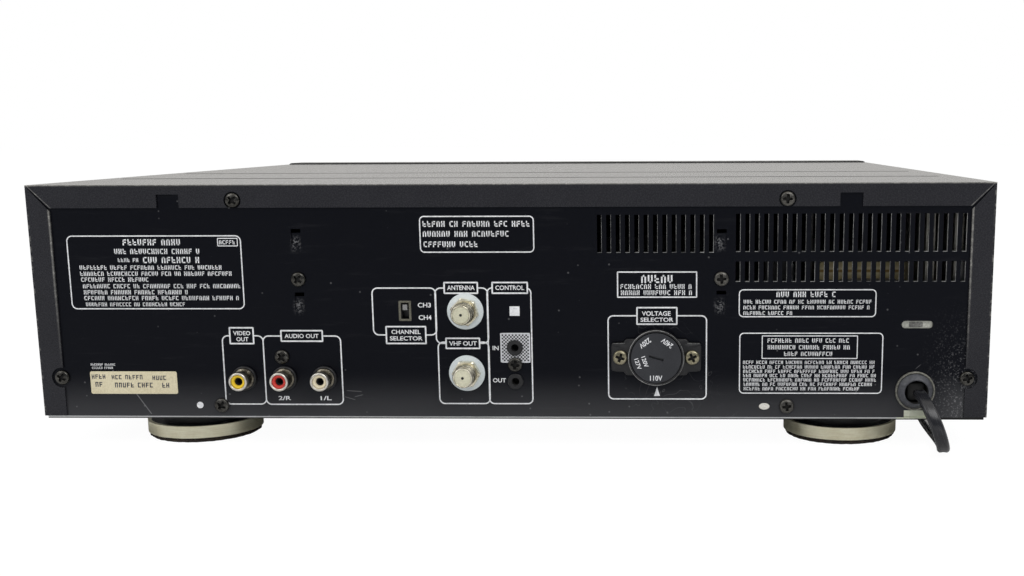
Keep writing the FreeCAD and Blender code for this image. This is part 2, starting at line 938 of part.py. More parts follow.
def modulator():
    a0, a1 = aerialAcross - modulatorWidth / 2, aerialAcross + modulatorWidth / 2
    high = modulatorUp + modulatorHeight
    foot = modulatorFoot
    case = rearBlock(a0, a1, modulatorUp, high, -steel - modulatorDepth, -steel)
    feet = [
        rearBlock(a, a + foot, steel, modulatorUp, -steel - modulatorDepth, -steel - modulatorDepth + foot)
        for a in (a0, a1 - foot)
    ]
    return joined(case, *feet)


def controlJacks():
    a0, a1 = controlAcross - controlWidth / 2, controlAcross + controlWidth / 2
    low, high = controlUps[1] - controlMargin, controlUps[0] + controlMargin
    body = rearBlock(a0, a1, low, high, -steel - controlDepth, -steel)
    bushes = [rearRod(controlAcross, h, -steel, controlReach, controlRadius) for h in controlUps]
    bores = [
        rearRod(controlAcross, h, controlReach - controlBoreDepth, controlReach + 1, controlBore)
        for h in controlUps
    ]
    return joined(body, *bushes).cut(bores + pilots([controlScrew]))


def channelSwitch():
    w, h = switchWindow
    body = rearBlock(
        switchAcross - w / 2 - switchWall, switchAcross + w / 2 + switchWall,
        switchUp - h / 2 - switchWall, switchUp + h / 2 + switchWall, -steel - switchDepth, -steel,
    )
    kw = switchKnob[0]
    room = rearBlock(
        switchAcross - kw / 2 - knobPlay, switchAcross + kw / 2 + knobPlay,
        switchUp - h / 2 + knobEnd, switchUp + h / 2 - knobEnd, -steel - knobDepth - seatGap, 1 - steel,
    )
    return body.cut(room)


def channelKnob():
    kw, kh = switchKnob
    high = switchUp + switchTravel / 2
    return rearBlock(
        switchAcross - kw / 2, switchAcross + kw / 2, high - kh / 2, high + kh / 2,
        -steel - knobDepth, -seatGap,
    )


def voltageSelector():
    rim = rearRod(dialAcross, dialUp, 0, selectorRimHeight, selectorRim)
    ears = rounded(
        rearBlock(
            dialAcross - selectorEarReach, dialAcross + selectorEarReach,
            dialUp - selectorEarHeight / 2, dialUp + selectorEarHeight / 2, 0, selectorEarThick,
        ),
        selectorEarRound,
        (0, 1, 0),
    )
    body = rearRod(dialAcross, dialUp, -selectorDepth, 0, selectorRim - selectorStep)
    floor = selectorRimHeight - dialThick - dialPlay
    well = rearRod(dialAcross, dialUp, floor, selectorRimHeight + 1, dialRadius + dialPlay / 2)
    bearing = rearRod(dialAcross, dialUp, dialShaftEnd - dialPlay - selectorDepth, 2, dialShaft + runFit)
    holes = pilots([(dialAcross + s * selectorScrewSpacing / 2, dialUp) for s in (-1, 1)])
    return joined(rim, ears, body).cut([well, bearing] + holes)


def voltageDial():
    face = rearRod(dialAcross, dialUp, selectorRimHeight - dialThick, selectorRimHeight, dialRadius)
    shaft = rearRod(dialAcross, dialUp, dialShaftEnd - selectorDepth, selectorRimHeight - 1, dialShaft)
    length, width = dialSlot
    slot = rearBlock(
        dialAcross - length / 2, dialAcross + length / 2, dialUp - width / 2, dialUp + width / 2,
        selectorRimHeight - dialSlotDepth, selectorRimHeight + 1,
    )
    centre = FreeCAD.Vector(-dialAcross, 0, up(dialUp))
    return joined(face, shaft).cut(slot.rotate(centre, FreeCAD.Vector(0, 1, 0), -dialSlotTilt))


# Mains lead


def cordGland():
    rim = rearRod(glandAcross, glandUp, 0, glandProud, glandRadius)
    throat = Part.makeCone(
        glandThroat, glandRadius - glandRim, glandProud,
        FreeCAD.Vector(-glandAcross, panelFace, up(glandUp)), FreeCAD.Vector(0, 1, 0),
    )
    neck = rearRod(glandAcross, glandUp, -steel - glandSunk, 0, glandNeck)
    bore = rearRod(glandAcross, glandUp, -steel - glandSunk - 1, glandProud + 1, reliefBase + runFit)
    return joined(rim, neck).cut([throat, bore])


def cordRelief():
    base = FreeCAD.Vector(-glandAcross, panelFace + reliefProud - reliefLength, up(glandUp))
    return Part.makeCone(
        reliefBase, cordRadius + reliefWall, reliefLength, base, FreeCAD.Vector(0, 1, 0)
    )


# The lead's route, one point to a line: out of its relief, round and down to the floor behind the
# case, forward under it and out past its side to the coil.
cordPoints = [
    (-179.0, 200.9, 26.9),
    (-179.0, 207.5, 26.9),
    (-181.0, 214.2, 22.4),
    (-184.2, 217.0, 15.0),
    (-187.0, 214.6, 7.6),
    (-189.0, 207.3, 3.0),
    (-190.8, 196.5, 3.0),
    (-191.3, 180.0, 3.0),
    (-191.0, 150.0, 3.0),
    (-194.0, 105.0, 3.0),
    (-193.0, 55.0, 3.0),
    (-197.0, 2.0, 3.0),
    (-204.0, -48.0, 3.0),
    (-212.5, -98.0, 3.0),
    (-216.5, -149.8, 3.0),
]
lapCentre = (-255.5, -175.0)
lapInner = 19.0
lapOuter = 44.0
lapBottom = 0.2
lapTop = 12.0
plugPlace = (-255.5, -104.8)
plugSize = (26.0, 26.0, 15.0)
plugFront = 12.0
plugRound = 3.0
plugTail = (4.2, 12.0, 7.7)
bladeSpan = 12.7
bladeSize = (1.5, 17.0, 6.4)
bladeUp = 4.5
arcShare = 0.45


def cordPath(points):
    """Straight runs joined by tangent arcs, each as large as its two runs allow."""
    corners = [FreeCAD.Vector(*p) for p in points]
    start, edges = corners[0], []
    for before, corner, after in zip(corners, corners[1:], corners[2:]):
        run = min((corner - before).Length, (after - corner).Length)
        inward = (before - corner).normalize()
        outward = (after - corner).normalize()
        turn = math.pi - inward.getAngle(outward)
        radius = arcShare * run / math.tan(turn / 2)
        print(f"cord radius {radius:.1f}, turn {math.degrees(turn):.0f}, run {run:.0f}")
        first, last = corner + inward * arcShare * run, corner + outward * arcShare * run
        bisector = (inward + outward).normalize()
        middle = corner + bisector * (radius / math.cos(turn / 2) - radius)
        edges += [Part.LineSegment(start, first).toShape(), Part.Arc(first, middle, last).toShape()]
        start = last
    edges.append(Part.LineSegment(start, corners[-1]).toShape())
    return Part.Wire(edges)


def cordTube():
    path = cordPath(cordPoints)
    start = FreeCAD.Vector(*cordPoints[0])
    along = FreeCAD.Vector(*cordPoints[1]) - start
    section = Part.Wire(Part.makeCircle(cordRadius, start, along))
    tube = path.makePipeShell([section], True, False)
    wanted = math.pi * cordRadius**2 * path.Length
    print(f"cord tube {path.Length:.0f} long, volume {tube.Volume / wanted:.4f} of its section times that")
    return tube


def cordCoil():
    x, y = lapCentre
    ring = rodZ(x, y, lapBottom, lapTop, lapOuter)
    return ring.cut(rodZ(x, y, lapBottom - 1, lapTop + 1, lapInner))


def mainsPlug():
    x, y = plugPlace
    width, length, height = plugSize
    front, back = y + plugFront, y + plugFront - length
    low = lapBottom
    body = block(x - width / 2, x + width / 2, back, front, low, low + height)
    thick, reach, high = bladeSize
    blades = [
        block(a - thick / 2, a + thick / 2, front, front + reach, bladeUp, bladeUp + high)
        for a in (x - bladeSpan / 2, x + bladeSpan / 2)
    ]
    radius, tail, level = plugTail
    return joined(rounded(body, plugRound, (0, 0, 1)), *blades, rodY(x, back - tail, back, level, radius))


# Mechanism


def mechBase():
    y0, y1 = discY - baseFront, discY + baseRear
    plate = block(-baseHalfWidth, baseHalfWidth, y0, y1, up(baseUp), up(baseUp + basePlate))
    z0, z1 = up(baseUp - 1), up(baseUp + basePlate + 1)
    half, front, rear = baseWindow
    window = block(-half, half, discY + front, y1 - rear, z0, z1)
    inner, outer, front, rear = baseCutout
    lightening = [block(s * inner, s * outer, y0 + front, y1 - rear, z0, z1) for s in (-1, 1)]
    seats, bores = [], []
    for back in (-guideFront, guideRear):
        near, far = discY + back - 1, discY + back + guideSeat + 1
        for s in (-1, 1):
            seats.append(
                block(
                    s * guideSpread - guideRadius - seatWall, s * guideSpread + guideRadius + seatWall,
                    discY + back, discY + back + guideSeat,
                    up(baseUp), up(guideUp + guideRadius + 1),
                )
            )
            bores.append(rodY(s * guideSpread, near, far, up(guideUp), guideRadius))
        seats.append(
            block(
                feedAcross - feedRadius - seatWall, feedAcross + feedRadius + seatWall + feedSeatExtra,
                discY + back, discY + back + guideSeat,
                up(baseUp), up(feedUp + feedRadius + 1),
            )
        )
        bores.append(rodY(feedAcross, near, far, up(feedUp), feedRadius + runFit))
    boss = rodZ(0, discY, z0, z1, motorBoss + bossFit)
    return joined(plate, *seats).cut([window, boss] + lightening + bores)


def mechDampers():
    return [rodZ(x, y, up(baseUp - damperHeight), up(baseUp), damperRadius) for x, y in damperPlaces]


def guideShafts():
    y0, y1 = discY - guideFront, discY + guideRear + guideSeat
    return [rodY(s * guideSpread, y0, y1, up(guideUp), guideRadius - pressFit) for s in (-1, 1)]


def spindleMotor():
    body = rodZ(0, discY, up(baseUp - motorHeight), up(baseUp), motorRadius)
    boss = rodZ(0, discY, up(baseUp), up(baseUp + motorBossHeight), motorBoss)
    floor = up(baseUp - motorHeight + motorFloor)
    bore = rodZ(0, discY, floor, up(baseUp + motorBossHeight + 1), shaftRadius + runFit)
    return joined(body, boss).cut(bore)


def turntable():
    under = playHeight - matThick - turntableThick
    plate = rodZ(0, discY, up(under), up(under + turntableThick), turntableRadius)
    mat = rodZ(0, discY, up(under), up(playHeight), turntableRadius - 1).cut(
        rodZ(0, discY, up(playHeight - matThick), up(playHeight + 1), hubRadius + hubRoom)
    )
    hub = Part.makeCone(
        hubRadius, hubRadius - hubTaper, hubRise + matThick,
        FreeCAD.Vector(0, discY, up(playHeight - matThick)), FreeCAD.Vector(0, 0, 1),
    )
    shaft = rodZ(0, discY, up(baseUp - motorHeight + motorFloor + 1), up(under), shaftRadius)
    return joined(plate, mat, hub, shaft)


def pickupCarriage():
    y0 = discY + pickupStart - lensFromFront
    body = block(-pickupHalfWidth, pickupHalfWidth, y0, y0 + pickupLength, up(pickupUp), up(pickupTop))
    y1 = y0 + pickupLength
    shoulder = up(guideUp + guideRadius + pickupWall)
    waist = [
        block(s * pickupWaist, s * (pickupHalfWidth + 1), y0 - 1, y1 + 1, shoulder, up(pickupTop + 1))
        for s in (-1, 1)
    ]
    nutFront = y0 + feedNutFront
    nut = block(
        guideSpread, feedAcross + feedNut, nutFront, nutFront + feedNutLength,
        up(pickupUp), up(feedUp + feedNut),
    )
    bores = [rodY(s * guideSpread, y0 - 1, y1 + 1, up(guideUp), guideRadius + runFit) for s in (-1, 1)]
    screwBore = rodY(feedAcross, y0, y1, up(feedUp), feedRadius + feedPlay)
    wellFloor = up(pickupTop + lensRise - lensHeight - lensTravel - seatGap)
    well = rodZ(0, discY + pickupStart, wellFloor, up(pickupTop + 1), lensRadius + lensPlay)
    return joined(body.cut(waist), nut).cut(bores + [screwBore, well])


def objectiveLens():
    top = pickupTop + lensRise
    return rodZ(0, discY + pickupStart, up(top - lensHeight), up(top), lensRadius)


def feedScrew():
    y0, y1 = discY - guideFront, discY + guideRear + guideSeat
    thread = rodY(feedAcross, y0 - seatGap, y1, up(feedUp), feedRadius)
    return joined(thread, rodY(feedAcross, y0 - feedShaftLength, y0, up(feedUp), feedShaft))


def feedMotor():
    y1 = discY - guideFront
    body = rodY(feedAcross, y1 - feedMotorLength, y1, up(feedUp), feedMotorRadius)
    recess = rodY(feedAcross, y1 - 1, y1 + 1, up(feedUp), feedRadius + seatGap)
    bore = rodY(feedAcross, y1 - feedShaftLength - 2, y1 + 1, up(feedUp), feedShaft + runFit)
    return body.cut([recess, bore])


# Tray and lift; the levels are those of the raised tray

discLevel = playHeight - matSink + trayLift
trayUnder = discLevel - trayRecess - trayFloor
trayTop = discLevel + trayRim
runnerUnder = trayUnder - runnerDrop
railUnder = runnerUnder - seatGap - railFloor
stubUp = trayUnder - trayLift - topPlay - camMargin - stubPlay - stubRadius
rackPitchLine = runnerInner - rackReach * gearModule
pitchRadius = gearModule * gearTeeth / 2
gearTop = trayUnder - trayLift - gearRoom
gearX = rackPitchLine - pitchRadius
loadMotorAcross = gearX - pulleySpan
gearY = frontFace + gearBack
toothPitch = math.pi * gearModule


def rackTeeth(y0, y1):
    """Straight teeth facing the middle, with a gap opposite the gear's centre."""
    half = (toothPitch - gearBacklash * 2) / 4
    slope = math.tan(math.radians(gearAngle))
    tip, root = rackPitchLine - toothTop * gearModule, runnerInner + rackSink
    first = math.ceil((y0 - gearY) / toothPitch + 0.5)
    last = math.floor((y1 - gearY) / toothPitch - 0.5)
    outline = [(root + 1, gearY + (first - 0.5) * toothPitch, up(runnerUnder))]
    for k in range(first, last):
        middle = gearY + (k + 0.5) * toothPitch
        wide = half + (root - rackPitchLine) * slope
        narrow = half - (rackPitchLine - tip) * slope
        for x, away in ((root, -wide), (tip, -narrow), (tip, narrow), (root, wide)):
            outline.append((x, middle + away, up(runnerUnder)))
    outline.append((root + 1, gearY + (last + 0.5) * toothPitch, up(runnerUnder)))
    return prism(outline, (0, 0, runnerDrop))


def discTray():
    low, high = up(trayUnder), up(trayTop)
    straight = block(-trayHalfWidth, trayHalfWidth, trayFront, discY, low, high)
    behind = block(-trayHalfWidth, trayHalfWidth, discY, discY + trayHalfWidth + 1, low, high)
    body = straight.fuse(rodZ(0, discY, low, high, trayHalfWidth).common(behind))
    floors = [
        rodZ(0, discY, up(discLevel), high + 1, discRadius + discPlay),
        rodZ(0, discY, up(discLevel - smallRecess), high + 1, smallDiscRadius + discPlay),
        rodZ(0, discY, up(discLevel - trayRecess), high + 1, compactDiscRadius + discPlay / 2),
        rodZ(0, discY, low - 1, high + 1, trayCentreHole),
        block(1 - trayCentreHole, trayCentreHole - 1, discY, discY + trayHalfWidth + 1, low - 1, high + 1),
    ]
    wall = block(-trayHalfWidth, trayHalfWidth, trayFront, trayFront + trayWall, low, high + trayWallRise)
    pins = [
        rodZ(s * frontPinAcross, trayFront + trayWall / 2, high, up(doorUp + doorHeight - seatGap), frontPinRadius)
        for s in (-1, 1)
    ]
    runners = [
        block(s * runnerInner, s * runnerOuter, trayFront + 2, runnerRear, up(runnerUnder), low) for s in (-1, 1)
    ]
    rack = rackTeeth(trayFront + 3, runnerRear)
    return joined(joined(body, wall).cut(floors), *pins, *runners, rack)


def trayDoor():
    door = block(
        -doorHalfWidth, doorHalfWidth, frontFace, frontFace + doorThick, up(doorUp), up(doorUp + doorHeight)
    )
    lugUp = trayTop + trayWallRise + lugGap
    lugs = [
        block(
            s * frontPinAcross - frontLugWidth / 2, s * frontPinAcross + frontLugWidth / 2,
            frontFace + doorThick, trayFront + trayWall + 2, up(lugUp), up(lugUp + frontLugThick),
        )
        for s in (-1, 1)
    ]
    holes = [
        rodZ(
            s * frontPinAcross, trayFront + trayWall / 2, up(lugUp - 1), up(lugUp + frontLugThick + 1),
            frontPinRadius + seatGap,
        )
        for s in (-1, 1)
    ]
    return joined(rounded(door, doorRound, (0, 1, 0)), *lugs).cut(holes)


railSpan = (trayFront + railEnds[0], frameRear + railEnds[1])


def trayCarrier():
    y0, y1 = railSpan
    bridges = [
        block(-railOuter, railOuter, y, y + bridgeWidth, up(railUnder), up(railUnder + railFloor))
        for y in (y0, y1)
    ]
    rails, walls, stubs = [], [], []
    for s in (-1, 1):
        inner = s * (runnerInner + railShelf)
        rails.append(block(inner, s * railOuter, y0, y1, up(railUnder), up(railUnder + railFloor)))
        low, high = up(stubUp - stubRoot), up(trayUnder - seatGap)
        walls.append(block(s * (railOuter - railWall), s * railOuter, y0, y1, low, high))
        reach = framePlateAcross + framePlate + stubBeyond
        stubs += [rodX(s * (railOuter - 1), s * reach, y, up(stubUp), stubRadius) for y in stubPlaces]
    return joined(*bridges, *rails, *walls, *stubs)


camInner = framePlateAcross - camGap - camThick


def liftCam():
    low = stubUp - trayLift - stubRadius - stubPlay - camMargin
    high = stubUp + stubRadius + stubPlay + camMargin
    y0, y1 = stubPlaces[0] - camTravel - camEnd, stubPlaces[1] + camEnd
    half = stubRadius + stubPlay
    linkY = discY + camLinkBack
    solids = []
    for s in (-1, 1):
        x0, x1 = s * camInner, s * (camInner + camThick)
        plate = block(x0, x1, y0, y1, up(low), up(high))
        slots = []
        for y in stubPlaces:
            ends = [(y, up(stubUp)), (y - camTravel, up(stubUp - trayLift))]
            slots += [rodX(x0 - s, x1 + s, a, b, half) for a, b in ends]
            run = math.hypot(camTravel, trayLift)
            ny, nz = -trayLift / run * half, camTravel / run * half
            corners = [
                (x0 - s, ends[0][0] + ny, ends[0][1] + nz),
                (x0 - s, ends[1][0] + ny, ends[1][1] + nz),
                (x0 - s, ends[1][0] - ny, ends[1][1] - nz),
                (x0 - s, ends[0][0] - ny, ends[0][1] - nz),
            ]
            slots.append(prism(corners, (s * (camThick + 2), 0, 0)))
        leg = block(x0, x1, linkY, linkY + camLinkWidth, up(camLinkUp), up(low))
        solids.append(joined(plate.cut(slots), leg))
    wide = camInner + camThick
    link = block(-wide, wide, linkY, linkY + camLinkWidth, up(camLinkUp), up(camLinkUp + camLinkHeight))
    return joined(link, *solids)


def loadingFrame():
    low = stubUp - trayLift - stubRadius - stubPlay - camMargin
    y0 = railSpan[0]
    half = stubRadius + stubPlay
    sides = []
    for s in (-1, 1):
        x0, x1 = s * framePlateAcross, s * (framePlateAcross + framePlate)
        plate = block(x0, x1, y0, frameRear, up(steel), up(trayUnder - trayLift - topPlay))
        column = block(x0, x1, frameRear - beamWidth, frameRear, up(steel), up(frameTop))
        flangeEnd = frameRear - beamWidth - footClear
        foot = block(x1, x1 + s * frameFlange, y0, flangeEnd, up(steel), up(steel + framePlate))
        tools = [
            block(x0 - s, x1 + s, y - half, y + half, up(stubUp - trayLift - half), up(stubUp + half))
            for y in stubPlaces
        ]
        wide, pitch, sill, lintel = frameWindow
        for k in range(frameWindows):
            y = discY - pitch + k * pitch
            tools.append(block(x0 - s, x1 + s, y, y + wide, up(sill), up(lintel)))
        ledgeTop = low - seatGap
        ledges = [
            block(s * (camInner - 1), x0, a, a + length, up(ledgeTop - ledgeThick), up(ledgeTop))
            for a, length in zip((y0, discY + ledgeBack), ledgeLength)
        ]
        sides.append(joined(joined(plate, column, foot).cut(tools), *ledges))
    beam = block(
        -framePlateAcross - framePlate, framePlateAcross + framePlate,
        frameRear - beamWidth, frameRear, up(frameTop - framePlate), up(frameTop),
    )
    pivotY = discY + clampPivotBack
    ears = [
        block(
            s * (clampArmHalf + earGap), s * (clampArmHalf + earGap + earThick),
            pivotY - earHalf, pivotY + earHalf, up(clampPivotUp - earDrop), up(frameTop - framePlate),
        )
        for s in (-1, 1)
    ]
    reach = clampArmHalf + earGap + earThick + 1
    pivot = rodX(-reach, reach, pivotY, up(clampPivotUp), clampPin + runFit)
    shelf = block(
        loadMotorAcross - loadMotorRadius - shelfMargin, framePlateAcross, y0, gearY + shelfBeyond,
        up(shelfUp), up(shelfUp + shelfThick),
    ).cut(rodZ(loadMotorAcross, gearY, up(shelfUp - 1), up(shelfUp + shelfThick + 1), loadBoss + seatGap))
    post = rodZ(gearX, gearY, up(shelfUp), up(gearTop), postRadius)
    collar = rodZ(gearX, gearY, up(shelfUp), up(pulleyUp - seatGap), postRadius + postShoulder)
    return joined(joined(*sides, beam, *ears).cut(pivot), shelf, post, collar)


# Loading drive


def gearOutline():
    """The gear's straight-flanked teeth, one of them pointing along +X into the rack's gap."""
    outline = []
    slope = math.tan(math.radians(gearAngle))
    half = (toothPitch - gearBacklash * 2) / 4
    add, ded = toothTop * gearModule, toothRoot * gearModule
    for k in range(gearTeeth):
        middle = 2 * math.pi * k / gearTeeth
        for radius, wide in (
            (pitchRadius - ded, half + ded * slope),
            (pitchRadius + add, half - add * slope),
            (pitchRadius + add, add * slope - half),
            (pitchRadius - ded, -half - ded * slope),
        ):
            angle = middle - wide / radius
            outline.append((gearX + radius * math.cos(angle), gearY + radius * math.sin(angle), up(pulleyUp)))
    return outline


def loadingGear():
    top = pulleyUp + pulleyHeight
    teeth = prism(gearOutline(), (0, 0, gearTop - pulleyUp))
    wheel = rodZ(gearX, gearY, up(pulleyUp), up(top), pulleyFlange)
    room = beltHeight / 2 + beltRoom
    middle = pulleyUp + pulleyHeight / 2
    groove = rodZ(gearX, gearY, up(middle - room), up(middle + room), pulleyFlange + 1).cut(
        rodZ(gearX, gearY, up(middle - room), up(middle + room), pulleyRadius)
    )
    return joined(wheel.cut(groove), teeth).cut(
        rodZ(gearX, gearY, up(pulleyUp - 1), up(gearTop + 1), postRadius + runFit)
    )


def loadingMotor():
    body = rodZ(loadMotorAcross, gearY, up(shelfUp - loadMotorHeight), up(shelfUp), loadMotorRadius)
    boss = rodZ(loadMotorAcross, gearY, up(shelfUp), up(shelfUp + shelfThick + 2), loadBoss)
    floor = up(shelfUp - loadShaftDepth - 1)
    bore = rodZ(loadMotorAcross, gearY, floor, up(shelfUp + loadShaftDepth), loadShaft + runFit)
    return joined(body, boss).cut(bore)


def motorPulley():
    middle = pulleyUp + pulleyHeight / 2
    flange = loadPulleyRadius + loadPulleyFlange
    wheel = rodZ(loadMotorAcross, gearY, up(pulleyUp), up(pulleyUp + pulleyHeight), flange)
    room = beltHeight / 2 + beltRoom
    groove = rodZ(loadMotorAcross, gearY, up(middle - room), up(middle + room), flange + 1).cut(
        rodZ(loadMotorAcross, gearY, up(middle - room), up(middle + room), loadPulleyRadius)
    )
    shaft = rodZ(loadMotorAcross, gearY, up(shelfUp - loadShaftDepth), up(pulleyUp + 1), loadShaft)
    return joined(wheel.cut(groove), shaft)


def beltLoop(grow):
    """The outline of a loop round both pulleys, as a solid slab."""
    middle = pulleyUp + pulleyHeight / 2
    z0, z1 = up(middle - beltHeight / 2), up(middle + beltHeight / 2)
    r0, r1 = loadPulleyRadius + beltPlay + grow, pulleyRadius + beltPlay + grow
    span = gearX - loadMotorAcross
    tilt = math.acos((r0 - r1) / span)
    corners = []
    for x, r, sign in ((loadMotorAcross, r0, 1), (gearX, r1, 1), (gearX, r1, -1), (loadMotorAcross, r0, -1)):
        corners.append((x + r * math.cos(tilt), gearY + sign * r * math.sin(tilt), z0))
    return joined(
        rodZ(loadMotorAcross, gearY, z0, z1, r0), rodZ(gearX, gearY, z0, z1, r1), prism(corners, (0, 0, z1 - z0))
    )


def loadingBelt():
    return beltLoop(beltThick).cut(beltLoop(0))


# Clamp


def clampArm():
    pivotY = discY + clampPivotBack
    z0, z1 = up(clampPivotUp - clampArmThick / 2), up(clampPivotUp + clampArmThick / 2)
    arm = block(-clampArmHalf, clampArmHalf, discY, pivotY + 2 * clampPin, z0, z1).fuse(
        rodZ(0, discY, z0, z1, clampArmHalf)
    )
    reach = clampArmHalf + earGap + earThick + clampPinOut
    pin = rodX(-reach, reach, pivotY, up(clampPivotUp), clampPin)
    half, front, rear = clampSlot
    slot = block(-half, half, discY + front, pivotY - rear, z0 - 1, z1 + 1)
    return joined(arm, pin).cut([rodZ(0, discY, z0 - 1, z1 + 1, clampNeck + clampPlay), slot])


def clamper():
    armTop = clampPivotUp + clampArmThick / 2
    puck = rodZ(0, discY, up(clampUnder), up(clampPivotUp - 2), clampRadius)
    neck = rodZ(0, discY, up(clampUnder), up(armTop + seatGap), clampNeck)
    flange = rodZ(0, discY, up(armTop + seatGap), up(armTop + seatGap + clampFlangeThick), clampFlange)
    recess = rodZ(0, discY, up(clampUnder - 1), up(clampUnder + clampRecessDepth), clampRecess)
    return joined(puck, neck, flange).cut(recess)


# Power supply and boards


def transformerCoil():
    a0, a1 = coilSides
    y1 = coilRear
    low, high = coilLevels
    return rounded(block(-a0, -a1, y1 - coilDepth, y1, up(low), up(high)), coilRound, (0, 1, 0))


def transformerCore():
    a0, a1 = coreMiddle - coreWidth / 2, coreMiddle + coreWidth / 2
    y1 = coilRear
    core = block(-a0, -a1, y1 - coilDepth - coreYoke, y1 + coreYoke, up(steel), up(coreHeight))
    room = block(1 - a0, -a1 - 1, y1 - coilDepth, y1, up(coilLevels[0]), up(coreHeight + 1))
    stud = footScrewRadius + studWall + seatGap
    studs = [rodZ(x, y, up(0), up(footStudHeight + studRoom), stud) for x, y in footPlaces]
    return core.cut([room] + studs)


def heatSink():
    y1 = flangeBack - screwLength
    y0 = y1 - sinkDepth
    low, high = up(steel), up(sinkHeight)
    plate = block(-sinkAcross, sinkWall - sinkAcross, y0, y1, low, high)
    step = (sinkDepth - sinkWall) / (sinkFins - 1)
    fins = [
        block(-sinkAcross, sinkFin - sinkAcross, y0 + k * step, y0 + k * step + sinkWall, low, high)
        for k in range(sinkFins)
    ]
    return joined(plate, *fins)


def board(side, parts):
    y0, y1 = boardSpan
    plate = block(side * boardInner, side * boardOuter, y0, y1, up(boardUp), up(boardUp + boardThick))
    top = up(boardUp + boardThick)
    solids = []
    for across, back, size, height in parts:
        x = side * (across + (boardInner if across > 0 else boardOuter))
        y = back + (y0 if back > 0 else y1)
        if isinstance(size, tuple):
            w, d = size
            solids.append(block(x - w / 2, x + w / 2, y - d / 2, y + d / 2, top, top + height))
        else:
            solids.append(rodZ(x, y, top, top + height, size))
    return joined(plate, *solids)


# across from the board's inner edge, or from its outer edge where negative; from its front, or from
# its rear where negative; width and depth, or a radius; height
signalParts = (
    (17, 40, (24, 24), 4),
    (-17, 52, (14, 34), 4),
    (19, 100, (22, 22), 4),
    (-15, 110, 5, 12),
    (-15, 126, 5, 12),
    (19, -148, (30, 12), 14),
    (-13, -133, 4, 10),
    (15, -108, (16, 40), 5),
    (-17, -93, (22, 22), 16),
    (19, -53, 5, 12),
    (-27, -38, (26, 14), 4),
)
powerParts = (
    (19, 35, 9, 26),
    (-19, 35, 9, 26),
    (19, 62, 8, 22),
    (-19, 62, 8, 22),
    (24, 100, (30, 18), 16),
    (-11, 110, 5, 14),
    (19, 140, (36, 20), 22),
    (-13, -148, 4, 10),
    (25, -108, (22, 6), 8),
    (-15, -98, 6, 16),
    (31, -58, (40, 18), 26),
)


def main():
    os.makedirs("parts", exist_ok=True)
    save("bottom_chassis", bottomChassis())
    save("rear_panel", rearPanel(), rearHem())
    save("top_cover", topCover())
    save("front_fascia", fascia())
    save("display_window", displayWindow())
    save("front_board", frontBoard())
    for name, place in keys.items():
        save(name, key(*place))
    save("foot_hubs", *[footHub(x, y) for x, y in footPlaces])
    save("foot_rings", *[footRing(x, y) for x, y in footPlaces])
    save("foot_pads", *[footPad(x, y) for x, y in footPlaces])
    save("foot_screws", *[footScrew(x, y) for x, y in footPlaces])
    selector = [(dialAcross + s * selectorScrewSpacing / 2, dialUp) for s in (-1, 1)]
    rear = [screw(a, h) for a, h in sideScrews + panScrews + bracketScrews + coverScrews]
    rear += [screw(*phonoScrew), screw(*controlScrew)]
    save("rear_screws", *rear, *[screw(a, h, selectorEarThick) for a, h in selector])
    save("jack_block", jackBlock())
    save("phono_shells", *[phonoShell(a) for a in phonoAcross])
    save("phono_inserts", *[phonoInsert(a) for a in phonoAcross])
    save("aerial_sockets", *[aerialSocket(h) for h in aerialUps])
    save("aerial_washers", *[aerialWasherDisc(h) for h in aerialUps])
    save("rf_modulator", modulator())
    save("control_jacks", controlJacks())
    save("channel_switch", channelSwitch())
    save("channel_knob", channelKnob())
    save("voltage_selector", voltageSelector())
    save("voltage_dial", voltageDial())
    save("cord_gland", cordGland())
    save("cord_relief", cordRelief())
    save("cord_tube", cordTube())
    save("cord_coil", cordCoil())
    save("mains_plug", mainsPlug())
    save("mech_base", mechBase())
    save("mech_dampers", *mechDampers())
    save("guide_shafts", *guideShafts())
    save("spindle_motor", spindleMotor())
    save("turntable", turntable())
    save("pickup_carriage", pickupCarriage())
    save("objective_lens", objectiveLens())
    save("feed_screw", feedScrew())
    save("feed_motor", feedMotor())
    save("loading_frame", loadingFrame())
    save("lift_cam", liftCam())
    save("tray_carrier", trayCarrier())
    save("disc_tray", discTray())
    save("tray_door", trayDoor())
    save("loading_motor", loadingMotor())
    save("motor_pulley", motorPulley())
    save("loading_belt", loadingBelt())
    save("loading_gear", loadingGear())
    save("clamp_arm", clampArm())
    save("clamper", clamper())
    save("transformer_coil", transformerCoil())
    save("transformer_core", transformerCore())
    save("heat_sink", heatSink())
    save("signal_board", board(1, signalParts))
    save("power_board", board(-1, powerParts))


main()
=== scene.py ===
import math

import bmesh
import bpy
import numpy as np
from mathutils import Matrix, Vector


